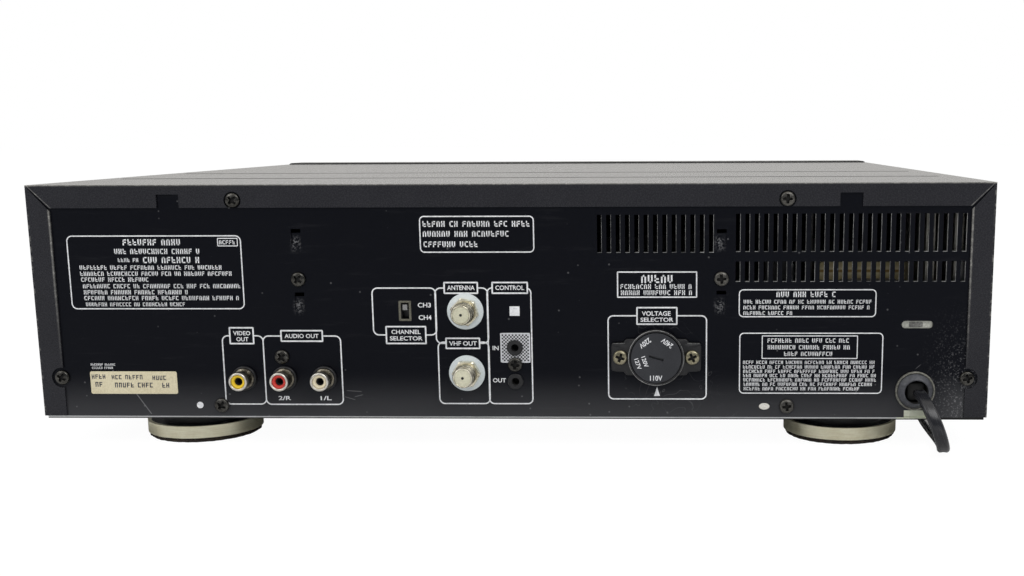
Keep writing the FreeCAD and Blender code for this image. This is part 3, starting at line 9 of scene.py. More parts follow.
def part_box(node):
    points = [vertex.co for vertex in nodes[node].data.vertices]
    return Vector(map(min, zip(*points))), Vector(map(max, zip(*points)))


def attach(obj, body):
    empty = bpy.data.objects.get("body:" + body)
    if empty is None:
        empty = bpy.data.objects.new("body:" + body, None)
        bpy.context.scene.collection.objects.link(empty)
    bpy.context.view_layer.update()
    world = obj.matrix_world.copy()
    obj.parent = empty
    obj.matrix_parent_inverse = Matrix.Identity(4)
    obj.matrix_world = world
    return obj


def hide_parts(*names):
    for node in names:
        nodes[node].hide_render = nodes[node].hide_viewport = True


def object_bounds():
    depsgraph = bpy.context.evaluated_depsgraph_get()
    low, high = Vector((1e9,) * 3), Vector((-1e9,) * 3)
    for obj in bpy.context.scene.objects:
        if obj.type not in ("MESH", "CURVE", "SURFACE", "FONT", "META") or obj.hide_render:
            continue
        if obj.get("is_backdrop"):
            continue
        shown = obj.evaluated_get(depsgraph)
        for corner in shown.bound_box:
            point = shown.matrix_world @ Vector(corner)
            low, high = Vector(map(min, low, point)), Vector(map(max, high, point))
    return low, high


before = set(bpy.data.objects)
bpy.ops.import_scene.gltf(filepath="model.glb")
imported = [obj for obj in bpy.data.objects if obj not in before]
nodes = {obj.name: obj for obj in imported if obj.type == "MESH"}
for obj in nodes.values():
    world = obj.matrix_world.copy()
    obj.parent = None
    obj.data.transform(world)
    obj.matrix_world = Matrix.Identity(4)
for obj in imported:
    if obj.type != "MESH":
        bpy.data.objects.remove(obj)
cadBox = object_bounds()
print("frame loaded:", len(nodes), "nodes")

mm = 0.001
panelY = 0.1939  # outer face of the rear panel
panBottom = 0.0135  # underside of the pan


def panelPoint(across, height, out=0.0):  # millimetres on the rear panel, as seen from behind
    return Vector((-across * mm, panelY + out * mm, panBottom + height * mm))


def linked(name, data):  # a new object in the scene
    made = bpy.data.objects.new(name, data)
    bpy.context.scene.collection.objects.link(made)
    return made


# camera
camera = {
    "place": (-0.07374, 0.7345, 0.1380),
    "yaw": -0.0298,
    "pitch": 0.179,
    "roll": -0.0045,
    "focalPixels": 1248.3,
    "centre": (640.0, 360.0),
    "image": (1024.0, 576.0),
    "sensor": 36.0,
    "clip": (0.01, 60.0),
}


def addCamera(k):
    sy, cy = math.sin(k["yaw"]), math.cos(k["yaw"])
    sp, cp = math.sin(k["pitch"]), math.cos(k["pitch"])
    sr, cr = math.sin(k["roll"]), math.cos(k["roll"])
    ahead = Vector((-sy * cp, -cy * cp, -sp))
    right = Vector((-cy, sy, 0))
    upward = Vector((-sy * sp, -cy * sp, cp))
    right, upward = right * cr + upward * sr, upward * cr - right * sr
    lens = bpy.data.cameras.new("rearView")
    wide, high = k["image"]
    lens.sensor_width = k["sensor"]
    lens.lens = k["focalPixels"] / wide * k["sensor"]
    lens.shift_x = -(k["centre"][0] - wide / 2) / wide
    lens.shift_y = (k["centre"][1] - high / 2) / wide
    lens.clip_start, lens.clip_end = k["clip"]
    eye = linked("rearView", lens)
    turn = Matrix((right, upward, -ahead)).transposed().to_4x4()
    eye.matrix_world = Matrix.Translation(k["place"]) @ turn
    bpy.context.scene.camera = eye


addCamera(camera)
print("camera placed")


# shader maths
class Flow:  # one socket of a material; arithmetic on it adds Math nodes
    def __init__(self, tree, out=None):
        self.tree, self.out = tree, out

    def node(self, kind, sockets=(), pick=0, **settings):  # any other node
        made = self.tree.nodes.new("ShaderNode" + kind)
        for name, value in settings.items():
            setattr(made, name, value)
        for name, value in dict(sockets).items():
            if isinstance(value, Flow):
                self.tree.links.new(value.out, made.inputs[name])
            else:
                made.inputs[name].default_value = value
        return Flow(self.tree, made.outputs[pick])

    def maths(self, operation, first, second=0.0):
        return self.node("Math", {0: first, 1: second}, operation=operation)

    def __add__(self, other):
        return self.maths("ADD", self, other)

    def __sub__(self, other):
        return self.maths("SUBTRACT", self, other)

    def __rsub__(self, other):
        return self.maths("SUBTRACT", other, self)

    def __mul__(self, other):
        return self.maths("MULTIPLY", self, other)

    def __truediv__(self, other):
        return self.maths("DIVIDE", self, other)

    __radd__, __rmul__ = __add__, __mul__

    def over(self, limit):
        return self.maths("GREATER_THAN", self, limit)

    def top(self, other):
        return self.maths("MAXIMUM", self, other)

    def low(self, other):
        return self.maths("MINIMUM", self, other)

    def size(self):
        return self.maths("ABSOLUTE", self)

    def wave(self):
        return self.maths("SINE", self)

    def ramp(self, start, end):  # 0 before start, 1 after end, smooth between
        return self.node("MapRange", {0: self, 1: start, 2: end}, interpolation_type="SMOOTHSTEP")

    def near(self, place, reach):  # 1 at a value, falling to 0 at a distance from it
        return 1 - (self - place).size().ramp(0.0, reach)

    def blend(self, first, second):  # first colour where this is 0, second where it is 1
        return self.node("Mix", {0: self, 6: first, 7: second}, pick=2, data_type="RGBA")

    def where(self, source="Object"):
        return self.node("TexCoord", pick={"UV": 2, "Object": 3}[source])

    def axes(self):  # the three numbers of a vector
        split = self.node("SeparateXYZ", {0: self})
        return [Flow(self.tree, out) for out in split.out.node.outputs]

    def stretch(self, *scale):
        return self.node("Mapping", {"Vector": self, "Scale": scale})

    def noise(self, scale, detail=2.0, rough=0.5, warp=0.0):
        sockets = {"Vector": self, "Scale": scale, "Detail": detail, "Roughness": rough}
        return self.node("TexNoise", {**sockets, "Distortion": warp})

    def cells(self, scale, pick=0, feature="F1"):
        return self.node("TexVoronoi", {"Vector": self, "Scale": scale}, pick=pick, feature=feature)


def tone(red, green, blue):
    return (red, green, blue, 1.0)


def grey(value):
    return tone(value, value, value)


looks = {}


def newMaterial(name, paint, depth=0.2, strength=0.5, **fixed):
    # paint(place) returns the varying sockets; "height" becomes a bump, depth millimetres deep
    made = bpy.data.materials.new(name)
    made.use_nodes = True
    tree = made.node_tree
    shader = tree.nodes["Principled BSDF"]
    for socket, value in fixed.items():
        shader.inputs[socket].default_value = value
    start = Flow(tree)
    parts = paint(start.where())
    if "height" in parts:
        bump = {"Height": parts.pop("height"), "Distance": depth * mm, "Strength": strength}
        parts["Normal"] = start.node("Bump", bump)
    for socket, value in parts.items():
        tree.links.new(value.out, shader.inputs[socket])
    looks[name] = made


# finishes
grains = {  # colour, second colour, roughness, metal, grain size in mm, bump depth in mm
    "keyBlack": ((0.016, 0.016, 0.019), (0.02, 0.02, 0.023), 0.36, 0.0, 0.35, 0.015),
    "coneGrey": ((0.035, 0.037, 0.045), (0.085, 0.088, 0.1), 0.42, 0.0, 1.2, 0.04),
    "mouldedBlack": ((0.005, 0.005, 0.006), (0.01, 0.01, 0.012), 0.4, 0.0, 0.4, 0.03),
    "dialSlate": ((0.013, 0.0145, 0.019), (0.026, 0.028, 0.034), 0.44, 0.0, 0.25, 0.03),
    "trayBlack": ((0.016, 0.016, 0.018), (0.018, 0.018, 0.02), 0.55, 0.0, 0.3, 0.02),
    "rubberBlack": ((0.016, 0.016, 0.016), (0.03, 0.03, 0.03), 0.75, 0.0, 0.8, 0.04),
    "nylonWhite": ((0.72, 0.7, 0.64), (0.8, 0.78, 0.72), 0.42, 0.0, 3.0, 0.01),
    "screwDark": ((0.036, 0.035, 0.032), (0.14, 0.135, 0.124), 0.3, 1.0, 0.4, 0.03),
    "nickel": ((0.7, 0.66, 0.58), (0.82, 0.78, 0.7), 0.2, 1.0, 1.2, 0.01),
    "steelBright": ((0.55, 0.55, 0.55), (0.65, 0.65, 0.65), 0.22, 1.0, 1.5, 0.005),
    "aluminiumGrey": ((0.6, 0.6, 0.6), (0.72, 0.72, 0.73), 0.36, 1.0, 0.6, 0.03),
    "laminations": ((0.09, 0.085, 0.08), (0.16, 0.15, 0.14), 0.5, 0.6, 0.7, 0.06),
    "washerGrey": ((0.6, 0.66, 0.68), (0.74, 0.79, 0.8), 0.5, 0.0, 0.6, 0.03),
    "feltBrown": ((0.006, 0.005, 0.0045), (0.045, 0.032, 0.024), 0.95, 0.0, 0.7, 0.35),
    "plugBlack": ((0.014, 0.0145, 0.017), (0.022, 0.0225, 0.026), 0.38, 0.0, 0.5, 0.03),
    "screwOlive": ((0.24, 0.22, 0.14), (0.44, 0.4, 0.29), 0.34, 1.0, 0.5, 0.03),
    "nickelWarm": ((0.66, 0.63, 0.56), (0.82, 0.79, 0.72), 0.3, 1.0, 0.5, 0.01),
    "barrelDark": ((0.06, 0.054, 0.044), (0.36, 0.33, 0.26), 0.3, 1.0, 0.6, 0.02),
    "switchFrame": ((0.13, 0.125, 0.1), (0.26, 0.25, 0.2), 0.4, 0.8, 0.4, 0.02),
    "knobGrey": ((0.2, 0.2, 0.2), (0.3, 0.3, 0.3), 0.4, 0.0, 0.3, 0.01),
    "glandGrey": ((0.05, 0.05, 0.042), (0.26, 0.255, 0.22), 0.42, 0.0, 0.7, 0.05),
    "socketFace": ((0.62, 0.6, 0.45), (0.8, 0.78, 0.6), 0.5, 0.3, 0.5, 0.01),
    "deepBlack": ((0.003, 0.003, 0.003), (0.006, 0.006, 0.006), 0.7, 0.0, 0.5, 0.0),
    "steelDull": ((0.05, 0.05, 0.05), (0.12, 0.12, 0.12), 0.5, 0.8, 2.0, 0.01),
    "recessShade": ((0.008, 0.008, 0.008), (0.02, 0.019, 0.018), 0.5, 0.6, 0.5, 0.01),
    "edgeWorn": ((0.04, 0.04, 0.04), (0.42, 0.42, 0.41), 0.45, 0.5, 0.5, 0.02),
    "finPale": ((0.22, 0.215, 0.19), (0.4, 0.39, 0.35), 0.4, 0.7, 1.2, 0.01),
    "clipShade": ((0.08, 0.08, 0.074), (0.3, 0.3, 0.28), 0.45, 0.3, 0.8, 0.02),
    "clipPale": ((0.36, 0.37, 0.32), (0.62, 0.62, 0.56), 0.45, 0.2, 0.8, 0.02),
    "champagneNickel": ((0.48, 0.45, 0.34), (0.94, 0.9, 0.75), 0.26, 1.0, 0.6, 0.012),
    "phonoYellow": ((0.8, 0.52, 0.015), (0.88, 0.62, 0.03), 0.4, 0.0, 0.5, 0.01),
    "phonoRed": ((0.55, 0.03, 0.02), (0.64, 0.05, 0.035), 0.4, 0.0, 0.5, 0.01),
    "phonoCream": ((0.74, 0.65, 0.44), (0.82, 0.74, 0.55), 0.4, 0.0, 0.5, 0.01),
    "inkDark": ((0.03, 0.035, 0.06), (0.06, 0.065, 0.09), 0.6, 0.0, 0.6, 0.0),
    "lensBlue": ((0.1, 0.16, 0.3), (0.14, 0.2, 0.36), 0.05, 0.0, 2.0, 0.0),
}


def grained(name, first, second, rough, metal, grain, depth):
    def paint(place):
        fine = place.noise(1 / (grain * mm), 3.0, 0.6)
        broad = place.noise(60.0, 3.0, 0.6)
        mottle = (fine * 0.5 + broad * 0.5).ramp(0.35, 0.65)
        return {
            "Base Color": mottle.blend(tone(*first), tone(*second)),
            "Roughness": broad.ramp(0.3, 0.7) * 0.14 + (rough - 0.07),
            "height": fine,
        }

    newMaterial(name, paint, depth, 0.6, Metallic=metal)


for name, values in grains.items():
    grained(name, *values)

sheet = {  # metres
    "spangle": 0.011,
    "lipShade": (0.1925, 0.0141),  # painted shade on the rolled lower edge of the rear lip: behind and below these
    "overrun": (-0.1845, 0.0168),  # paint past the notch under the lead
    "litBarePatch": (-0.1705, 0.191),  # bare metal below the lead, with painted light: its colour is raised where it sits dim under the gland
}


def galvanised(place):
    crystals = place.cells(1 / sheet["spangle"], pick=1).axes()[0]
    smear = place.noise(160.0, 4.0, 0.65)
    both = crystals * 0.6 + smear * 0.4
    x, y, z = place.axes()
    side, level = sheet["overrun"]
    overrun = (1 - x.ramp(side - 0.001, side)) * (1 - z.ramp(level - 0.0003, level))
    # painted shade on the lip's lower edge, joined with the black paint past the notch; both go
    # near-black
    depth, level = sheet["lipShade"]
    lipShadeAndOverrun = y.ramp(depth, depth + 0.0003) * (1 - z.ramp(level - 0.0003, level)).top(overrun)
    # painted light: the bare metal gets a paler colour than the zinc, to make up for the little
    # light under the gland
    side, depth = sheet["litBarePatch"]
    litBarePatch = (1 - x.ramp(side - 0.0005, side)) * y.ramp(depth - 0.0005, depth)
    zinc = both.blend(tone(0.46, 0.47, 0.47), tone(0.74, 0.75, 0.75))
    bareBrightened = both.blend(tone(0.6, 0.63, 0.5), tone(0.95, 0.98, 0.82))
    return {
        "Base Color": lipShadeAndOverrun.blend(litBarePatch.blend(zinc, bareBrightened), grey(0.03)),
        "Roughness": both * 0.22 + 0.24,
        "height": crystals * 0.3 + smear * 0.7,
    }


panelWear = {  # metres
    "dustAndSheen": (0.012, 0.036),  # paler low down: a painted reflection of the floor
    "scratches": (  # slope, height at no distance across, and the two ends
        (0.06, 0.0218, 0.066, 0.0735),
        (-0.25, 0.0408, 0.0655, 0.07),
        (0.3, 0.0012, 0.069, 0.0745),
        (-0.85, -0.1153, -0.181, -0.178),
    ),
    "long": (1.49, -0.2257, 0.0153, 0.0255),  # slope, the same height, lowest and highest point
    "hookWearAndGlints": (0.0925, 0.0915, 0.064),  # across and two heights of the tabs under the slots: rubbed paint and painted glints
    "rails": (0.0905, 0.0946),  # the two lines down their sides, also rubbed paint and painted glints
    "crowd": (-0.2, -0.178, 0.02, 0.07),  # chips round the lead
    "haze": (-0.199, -0.186, 0.025, 0.05),
}


def panelPaint(place):
    k = panelWear
    specks = 1 - place.cells(230.0).ramp(0.05, 0.13)
    specks = specks * place.cells(230.0, pick=1).axes()[0].over(0.8)
    fine = place.noise(900.0, 5.0, 0.75).ramp(0.71, 0.76)
    smears = place.stretch(6.0, 6.0, 60.0).noise(5.0, 4.0, 0.7).ramp(0.56, 0.8)
    x, y, z = place.axes()
    # painted reflection: the panel turns paler toward its foot, as the floor's light would show on
    # it
    low = 1 - z.ramp(*k["dustAndSheen"])
    scuffs = place.noise(95.0, 1.0, 0.4, 1.6).near(0.5, 0.006)
    scuffs = scuffs * place.noise(14.0, 2.0).ramp(0.62, 0.72)
    slope, rise, foot, head = k["long"]
    sweep = (z - x * slope - rise).near(0.0, 0.0006) * z.ramp(foot, foot + 0.0003)
    sweep = sweep * (1 - z.ramp(head - 0.001, head)) * place.noise(700.0, 2.0).ramp(0.32, 0.45)
    for slope, rise, first, last in k["scratches"]:
        line = (z - x * slope - rise).near(0.0, 0.0003) * x.ramp(first, first + 0.001)
        sweep = sweep + line * (1 - x.ramp(last - 0.001, last)) * 0.6
    # rubbed paint and painted glints on the tabs, standing in for light caught on their bulge
    across, upper, lower = k["hookWearAndGlints"]
    hookWearAndGlints = x.size().near(across, 0.0032) * (z.near(upper, 0.0045) + z.near(lower, 0.0045)).low(1.0)
    rails = x.size().near(k["rails"][0], 0.0002).top(x.size().near(k["rails"][1], 0.0002))
    hookWearAndGlints = hookWearAndGlints * (place.noise(1100.0, 3.0, 0.7).ramp(0.5, 0.58) + rails * 0.5).low(1.0)
    corner = lambda part: (1 - x.ramp(*k[part][:2])) * (1 - z.ramp(*k[part][2:]))
    crowd = corner("crowd") * place.noise(1100.0, 4.0, 0.75).ramp(0.55, 0.63)
    haze = corner("haze") * place.noise(60.0, 3.0).ramp(0.35, 0.65)
    veil = hookWearAndGlints * 0.9 + crowd * 0.8 + haze * 0.12 + specks * 0.45 + fine * 0.3
    veil = (veil + smears * 0.04 + low * 0.26 + scuffs * 0.4 + sweep * 0.9).low(1.0)
    return {
        "Base Color": veil.blend(tone(0.0016, 0.0017, 0.0032), tone(0.17, 0.17, 0.175)),
        "Roughness": place.noise(22.0, 4.0, 0.6) * 0.16 + 0.3 + specks * 0.3,
        "height": place.noise(2600.0, 3.0, 0.6) + specks * 0.5,
    }


coverEdges = {  # metres
    "rear": 0.1947,
    "top": 0.1173,
    "side": 0.210,
    "mitre": -0.0921,  # height less distance from the middle, on the slanting joint
    "inner": (0.2004, 0.1074),  # the flange's inner edge, and where it ends
}


def coverPaint(place):
    k = coverEdges
    grain = place.noise(1500.0, 4.0, 0.65)
    cloud = place.noise(30.0, 4.0, 0.6)
    x, y, z = place.axes()
    side = x.size()
    # light edge lines: chipped paint, with painted highlights along the bent rear edge, the mitre
    # and the flange's inner edge
    rearEdge = y.near(k["rear"], 0.001) * z.near(k["top"], 0.0007)
    sideEdge = side.near(k["side"], 0.0011) * z.near(k["top"], 0.0011)
    upright = side.near(k["side"], 0.001) * y.near(k["rear"], 0.001)
    corners = side.ramp(0.204, 0.209) * rearEdge
    mitre = (z - side - k["mitre"]).near(0.0, 0.0004) * y.ramp(0.1943, 0.1946)
    edge, end = k["inner"]
    inner = side.near(edge, 0.0007) * y.ramp(0.1938, 0.1941)
    inner = inner * z.ramp(0.03, 0.1) * (1 - z.ramp(end - 0.0003, end))
    chips = place.noise(420.0, 5.0, 0.75).ramp(0.5, 0.62)
    wearAndHighlight = rearEdge * (chips * 0.5 + 0.5) + corners + sideEdge * chips * 0.7 + upright * chips * 0.6
    wearAndHighlight = (wearAndHighlight + mitre * (chips * 0.4 + 0.3) + inner * (chips * 0.6 + 0.4)).low(1.0)
    specks = place.noise(700.0, 5.0, 0.8).ramp(0.72, 0.77)
    mottle = (grain * 0.7 + cloud * 0.3).ramp(0.3, 0.7)
    base = mottle.blend(tone(0.0105, 0.0107, 0.0145), tone(0.022, 0.0225, 0.0275))
    dustAndSheen = (specks * 0.7).blend(base, tone(0.16, 0.155, 0.145))
    return {
        "Base Color": wearAndHighlight.blend(dustAndSheen, tone(0.42, 0.41, 0.38)),
        "Roughness": grain * 0.14 + 0.2 + specks * 0.2,
        "Metallic": wearAndHighlight * 0.7,
        "height": grain,
    }


def boardGreen(place):
    tracks = place.cells(160.0, feature="DISTANCE_TO_EDGE").ramp(0.03, 0.05)
    soft = place.noise(300.0, 3.0, 0.6)
    lines = tracks * 0.6 + soft * 0.2
    return {
        "Base Color": lines.blend(tone(0.09, 0.22, 0.08), tone(0.025, 0.11, 0.035)),
        "Roughness": soft * 0.2 + 0.3,
        "height": 1 - tracks,
    }


winding = {"stripe": 0.0768, "head": (0.0802, 0.0812), "foot": (0.0725, 0.0732)}  # heights; above the head and below the foot the tape takes painted shade


def windingTape(place):
    z = place.axes()[2]
    laps = (z * 900.0 + place.noise(40.0, 2.0) * 3.0).wave()
    stripe = z.near(winding["stripe"], 0.0011)
    # painted shade: the tape goes near-black above and below the band seen through the vents
    dark = z.ramp(*winding["head"]).top(1 - z.ramp(*winding["foot"]) * 0.75)
    tan = laps.ramp(-1.0, 1.0).blend(tone(0.62, 0.52, 0.27), tone(0.92, 0.82, 0.5))
    tan = stripe.blend(tan, tone(0.36, 0.2, 0.02))
    return {
        "Base Color": dark.blend(tan, tone(0.02, 0.018, 0.013)),
        "Roughness": laps * 0.05 + 0.36,
        "height": laps,
    }


def fasciaPaint(place):  # moulded black, with a painted sheen along its top
    mottle = place.noise(90.0, 4.0, 0.6)
    # painted sheen: the top is made lighter, as the cover's top looks under grazing light
    paintedTopSheen = place.axes()[2].ramp(0.1165, 0.1172) * (mottle * 0.5 + 0.5)
    black = mottle.blend(tone(0.007, 0.0073, 0.009), tone(0.0095, 0.01, 0.0115))
    return {
        "Base Color": paintedTopSheen.blend(black, tone(0.07, 0.069, 0.066)),
        "Roughness": mottle * 0.06 + 0.39,
        "height": place.noise(2200.0, 3.0, 0.6),
    }


def smokedWindow(place):
    soft = place.noise(40.0, 2.0)
    return {
        "Base Color": soft.blend(tone(0.006, 0.006, 0.008), tone(0.011, 0.011, 0.013)),
        "Roughness": soft * 0.05 + 0.06,
    }


def champagne(place):  # turned lines round each foot
    lines = place.stretch(1.0, 1.0, 40.0).noise(120.0, 3.0, 0.7)
    rubAndGlint = place.noise(180.0, 4.0, 0.7)
    mottle = (lines * 0.6 + rubAndGlint * 0.4).ramp(0.3, 0.7)
    return {
        "Base Color": mottle.blend(tone(0.8, 0.74, 0.52), tone(1.0, 0.97, 0.76)),
        "Roughness": rubAndGlint * 0.2 + 0.27,
        "height": lines,
    }


def leadVinyl(place):  # a web between the two cores, with pale streaks lengthwise that are painted highlights
    along = Flow(place.tree).where("UV")
    streaks = along.stretch(9.0, 26.0, 1.0).noise(3.0, 4.0, 0.65)
    web = (along.axes()[0] * 4 * math.pi).wave().size()
    rubAndGlint = streaks.ramp(0.55, 0.75)
    return {
        "Base Color": rubAndGlint.blend(tone(0.014, 0.0145, 0.018), tone(0.1, 0.1, 0.105)),
        "Roughness": streaks * 0.2 + 0.16,
        "height": streaks * 0.5 + web * 0.2,
    }


def printWhite(place):
    wear = place.noise(900.0, 4.0, 0.7)
    mottle = (wear * 0.7 + place.noise(60.0, 3.0, 0.6) * 0.3).ramp(0.35, 0.62)
    return {
        "Base Color": mottle.blend(tone(0.62, 0.63, 0.65), tone(0.9, 0.91, 0.93)),
        "Roughness": wear * 0.2 + 0.4,
    }


checks = {"across": -2.7, "height": 32.05, "cell": 0.75, "half": 6.05}  # millimetres


def checkPrint(place):  # fine checks inside a plain border
    k = checks
    x, y, z = place.axes()
    right = x - k["across"] * mm
    upward = z - (panBottom + k["height"] * mm)
    cell = k["cell"] * mm
    dark = ((right / cell * math.pi).wave() * (upward / cell * math.pi).wave()).over(0.0)
    inside = 1 - right.size().top(upward.size()).over(k["half"] * mm)
    wear = place.noise(900.0, 4.0, 0.7)
    white = wear.blend(tone(0.5, 0.51, 0.54), tone(0.74, 0.75, 0.78))
    return {
        "Base Color": (dark * inside).blend(white, tone(0.008, 0.008, 0.01)),
        "Roughness": wear * 0.2 + 0.4,
    }


def stickerPaper(place):
    fibres = place.noise(1200.0, 4.0, 0.7)
    mottle = (fibres * 0.6 + place.noise(45.0, 4.0, 0.6) * 0.4).ramp(0.3, 0.7)
    return {
        "Base Color": mottle.blend(tone(0.6, 0.53, 0.35), tone(0.8, 0.73, 0.52)),
        "Roughness": fibres * 0.2 + 0.5,
        "height": fibres,
    }


painted = {  # bump depth in mm, bump strength, and the sockets that stay the same
    leadVinyl: (0.2, 0.5, {}),
    printWhite: (0.0, 0.0, {}),
    checkPrint: (0.0, 0.0, {}),
    stickerPaper: (0.03, 0.4, {}),
    galvanised: (0.04, 0.4, {"Metallic": 1.0}),
    panelPaint: (0.05, 0.5, {"Specular IOR Level": 0.15, "Specular Tint": tone(0.78, 0.84, 1.0)}),
    coverPaint: (0.14, 0.7, {"Specular IOR Level": 0.28}),
    boardGreen: (0.08, 0.4, {}),
    windingTape: (0.1, 0.4, {}),
    fasciaPaint: (0.04, 0.4, {}),
    smokedWindow: (0.0, 0.0, {"Coat Weight": 0.2, "Specular IOR Level": 0.3}),
    champagne: (0.06, 0.4, {"Metallic": 1.0}),
}
for paint, (depth, strength, fixed) in painted.items():
    newMaterial(paint.__name__, paint, depth, strength, **fixed)

nodeLooks = {
    "galvanised": "bottom_chassis rf_modulator mech_base spindle_motor feed_motor loading_motor "
    "tray_carrier lift_cam clamp_arm",
    "steelDull": "loading_frame",
    "panelPaint": "rear_panel",
    "coverPaint": "top_cover",
    "fasciaPaint": "front_fascia tray_door",
    "smokedWindow": "display_window",
    "boardGreen": "front_board signal_board power_board",
    "keyBlack": "power_button open_close_button stop_button pause_button play_button "
    "skip_back_button skip_forward_button",
    "mouldedBlack": "foot_hubs jack_block control_jacks channel_switch voltage_selector "
    "cord_gland cord_relief pickup_carriage cord_tube cord_coil mains_plug",
    "knobGrey": "channel_knob",
    "dialSlate": "voltage_dial",
    "champagne": "foot_rings",
    "feltBrown": "foot_pads",
    "screwDark": "foot_screws rear_screws",
    "nickel": "phono_shells phono_inserts aerial_sockets",
    "washerGrey": "aerial_washers",
    "rubberBlack": "mech_dampers loading_belt turntable",
    "steelBright": "guide_shafts feed_screw",
    "windingTape": "transformer_coil",
    "laminations": "transformer_core",
    "aluminiumGrey": "heat_sink",
    "trayBlack": "disc_tray",
    "nylonWhite": "loading_gear motor_pulley clamper",
    "lensBlue": "objective_lens",
}
for look, names in nodeLooks.items():
    for item in names.split():
        nodes[item].data.materials.clear()
        nodes[item].data.materials.append(looks[look])
print("finishes made:", len(looks))


# mesh helpers
def newPiece(name, verts, faces, look, slot, body="root", smooth=True):
    mesh = bpy.data.meshes.new(name)
    mesh.from_pydata(np.asarray(verts, float).tolist(), [], faces)
    shell = bmesh.new()
    shell.from_mesh(mesh)
    bmesh.ops.recalc_face_normals(shell, faces=shell.faces)
    shell.to_mesh(mesh)
    shell.free()
    mesh.polygons.foreach_set("use_smooth", [smooth] * len(mesh.polygons))
    mesh.materials.append(looks[look])
    mesh.update()
    made = linked(name, mesh)
    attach(made, body)
    return made


def fullTurn(steps):
    return np.linspace(0, 2 * math.pi, steps, endpoint=False)


def gridFaces(rows, columns, closed=True, caps=False):
    # quads between neighbouring rows of points, which may be closed on themselves and capped
    r = np.arange(rows - 1)[:, None]
    c = np.arange(columns if closed else columns - 1)[None, :]
    right = (c + 1) % columns
    near, far = r * columns, (r + 1) * columns
    faces = np.stack([near + c, near + right, far + right, far + c], -1).reshape(-1, 4).tolist()
    if caps:
        faces.append(list(range(columns))[::-1])
        faces.append(list(range((rows - 1) * columns, rows * columns)))
    return faces


def lastToFirst(rows, columns):  # quads that join the last row of points to the first
    last = (rows - 1) * columns
    right = lambda c: (c + 1) % columns
    return [[last + c, last + right(c), right(c), c] for c in range(columns)]


def capped(rows):  # rows of points as a closed solid
    return np.concatenate(rows), gridFaces(len(rows), len(rows[0]), caps=True)


def lathe(profile, middle, steps=48, shape=None):
    # a point goes round a line toward the rear at each (radius, distance along it) of the profile;
    # shape(angle, radius, along) may change the radius
    radius, along = np.asarray(profile, float).T * mm
    turn = fullTurn(steps)
    r = np.repeat(radius[:, None], steps, 1)
    if shape:
        r = shape(turn[None, :], r, along[:, None])
    level = np.broadcast_to(along[:, None], r.shape)
    points = np.stack([r * np.cos(turn), level, -r * np.sin(turn)], -1) + np.asarray(middle)
    return points.reshape(-1, 3), gridFaces(len(radius), steps, caps=True)


def looped(profile, middle, steps, shape=None):
    # a profile that closes on itself, so that the turned piece has a hole through it
    verts, faces = lathe(profile, middle, steps, shape)
    return verts, faces[:-2] + lastToFirst(len(profile), steps)


def merged(parts):  # several lists of points and faces as one
    verts, faces, start = [], [], 0
    for v, f in parts:
        verts.append(np.asarray(v, float))
        faces += [[i + start for i in face] for face in f]
        start += len(v)
    return np.concatenate(verts), faces


# mains lead
lead = {
    "route": [  # millimetres, as in the part's source
        (-179.0, 200.9, 26.9),
        (-179.0, 207.5, 26.9),
        (-181.0, 214.2, 22.4),
        (-184.2, 217.0, 15.0),
        (-187.0, 214.6, 7.6),
        (-189.0, 207.3, 3.0),
        (-190.8, 196.5, 3.0),
        (-191.3, 180.0, 3.0),
        (-191.0, 150.0, 3.0),
        (-194.0, 105.0, 3.0),
        (-193.0, 55.0, 3.0),
        (-197.0, 2.0, 3.0),
        (-204.0, -48.0, 3.0),
        (-212.5, -98.0, 3.0),
        (-216.5, -149.8, 3.0),
    ],
    "middle": (-255.5, -175.0),  # of the coil
    "outer": 41.6,
    "pitch": 4.35,
    "lapsDown": 5,  # inward on the floor, then outward on top
    "lapsTop": 2.45,
    "climb": (4.7, 5.2),  # the laps between which it rises to the second layer
    "levels": (3.0, 8.9),
    "dip": 3.2,  # the turns step in where the lead comes up to the coil
    "dipLaps": 7,
    "perTurn": 20,
    "leave": [  # to the plug
        (-284.0, -163.0, 8.9),
        (-274.6, -149.2, 8.8),
        (-261.5, -142.0, 8.3),
        (-255.6, -134.5, 7.8),
        (-255.5, -127.0, 7.7),
    ],
    "width": 5.6,
    "thick": 3.4,
    "web": (0.15, 0.84),  # half its width and its thickness, in shares
    "steps": 28,
    "length": 1.8,
    "twist": (70.0, 130.0),  # from flat across to on edge, along the lead
}


def coilPoints(k):
    # turns whose radius shrinks by the pitch on the floor and grows again on the layer above
    lap = np.arange(0, (k["lapsDown"] + k["lapsTop"]) * k["perTurn"] + 1) / k["perTurn"]
    low = lap < k["lapsDown"]
    steps = np.where(low, lap, 2 * k["lapsDown"] - lap)
    nearJoin = np.cos(math.pi * lap) ** 4 * (1 - lap / k["dipLaps"]) * low
    radius = k["outer"] - k["pitch"] * steps - k["dip"] * np.clip(nearJoin, 0, 1)
    start, end = k["climb"]
    climb = np.clip((lap - start) / (end - start), 0, 1)
    climb = climb * climb * (3 - 2 * climb)
    x = k["middle"][0] + radius * np.cos(2 * math.pi * lap)
    y = k["middle"][1] - radius * np.sin(2 * math.pi * lap)
    z = k["levels"][0] + (k["levels"][1] - k["levels"][0]) * climb
    return np.stack([x, y, z], 1)


def seenMesh(name, curve):  # what a curve or text looks like, as a mesh
    holder = linked(name, curve)
    seen = holder.evaluated_get(bpy.context.evaluated_depsgraph_get())
    mesh = bpy.data.meshes.new_from_object(seen)
    bpy.data.objects.remove(holder)
    points = np.empty(len(mesh.vertices) * 3)
    mesh.vertices.foreach_get("co", points)
    return points.reshape(-1, 3), [list(p.vertices) for p in mesh.polygons]


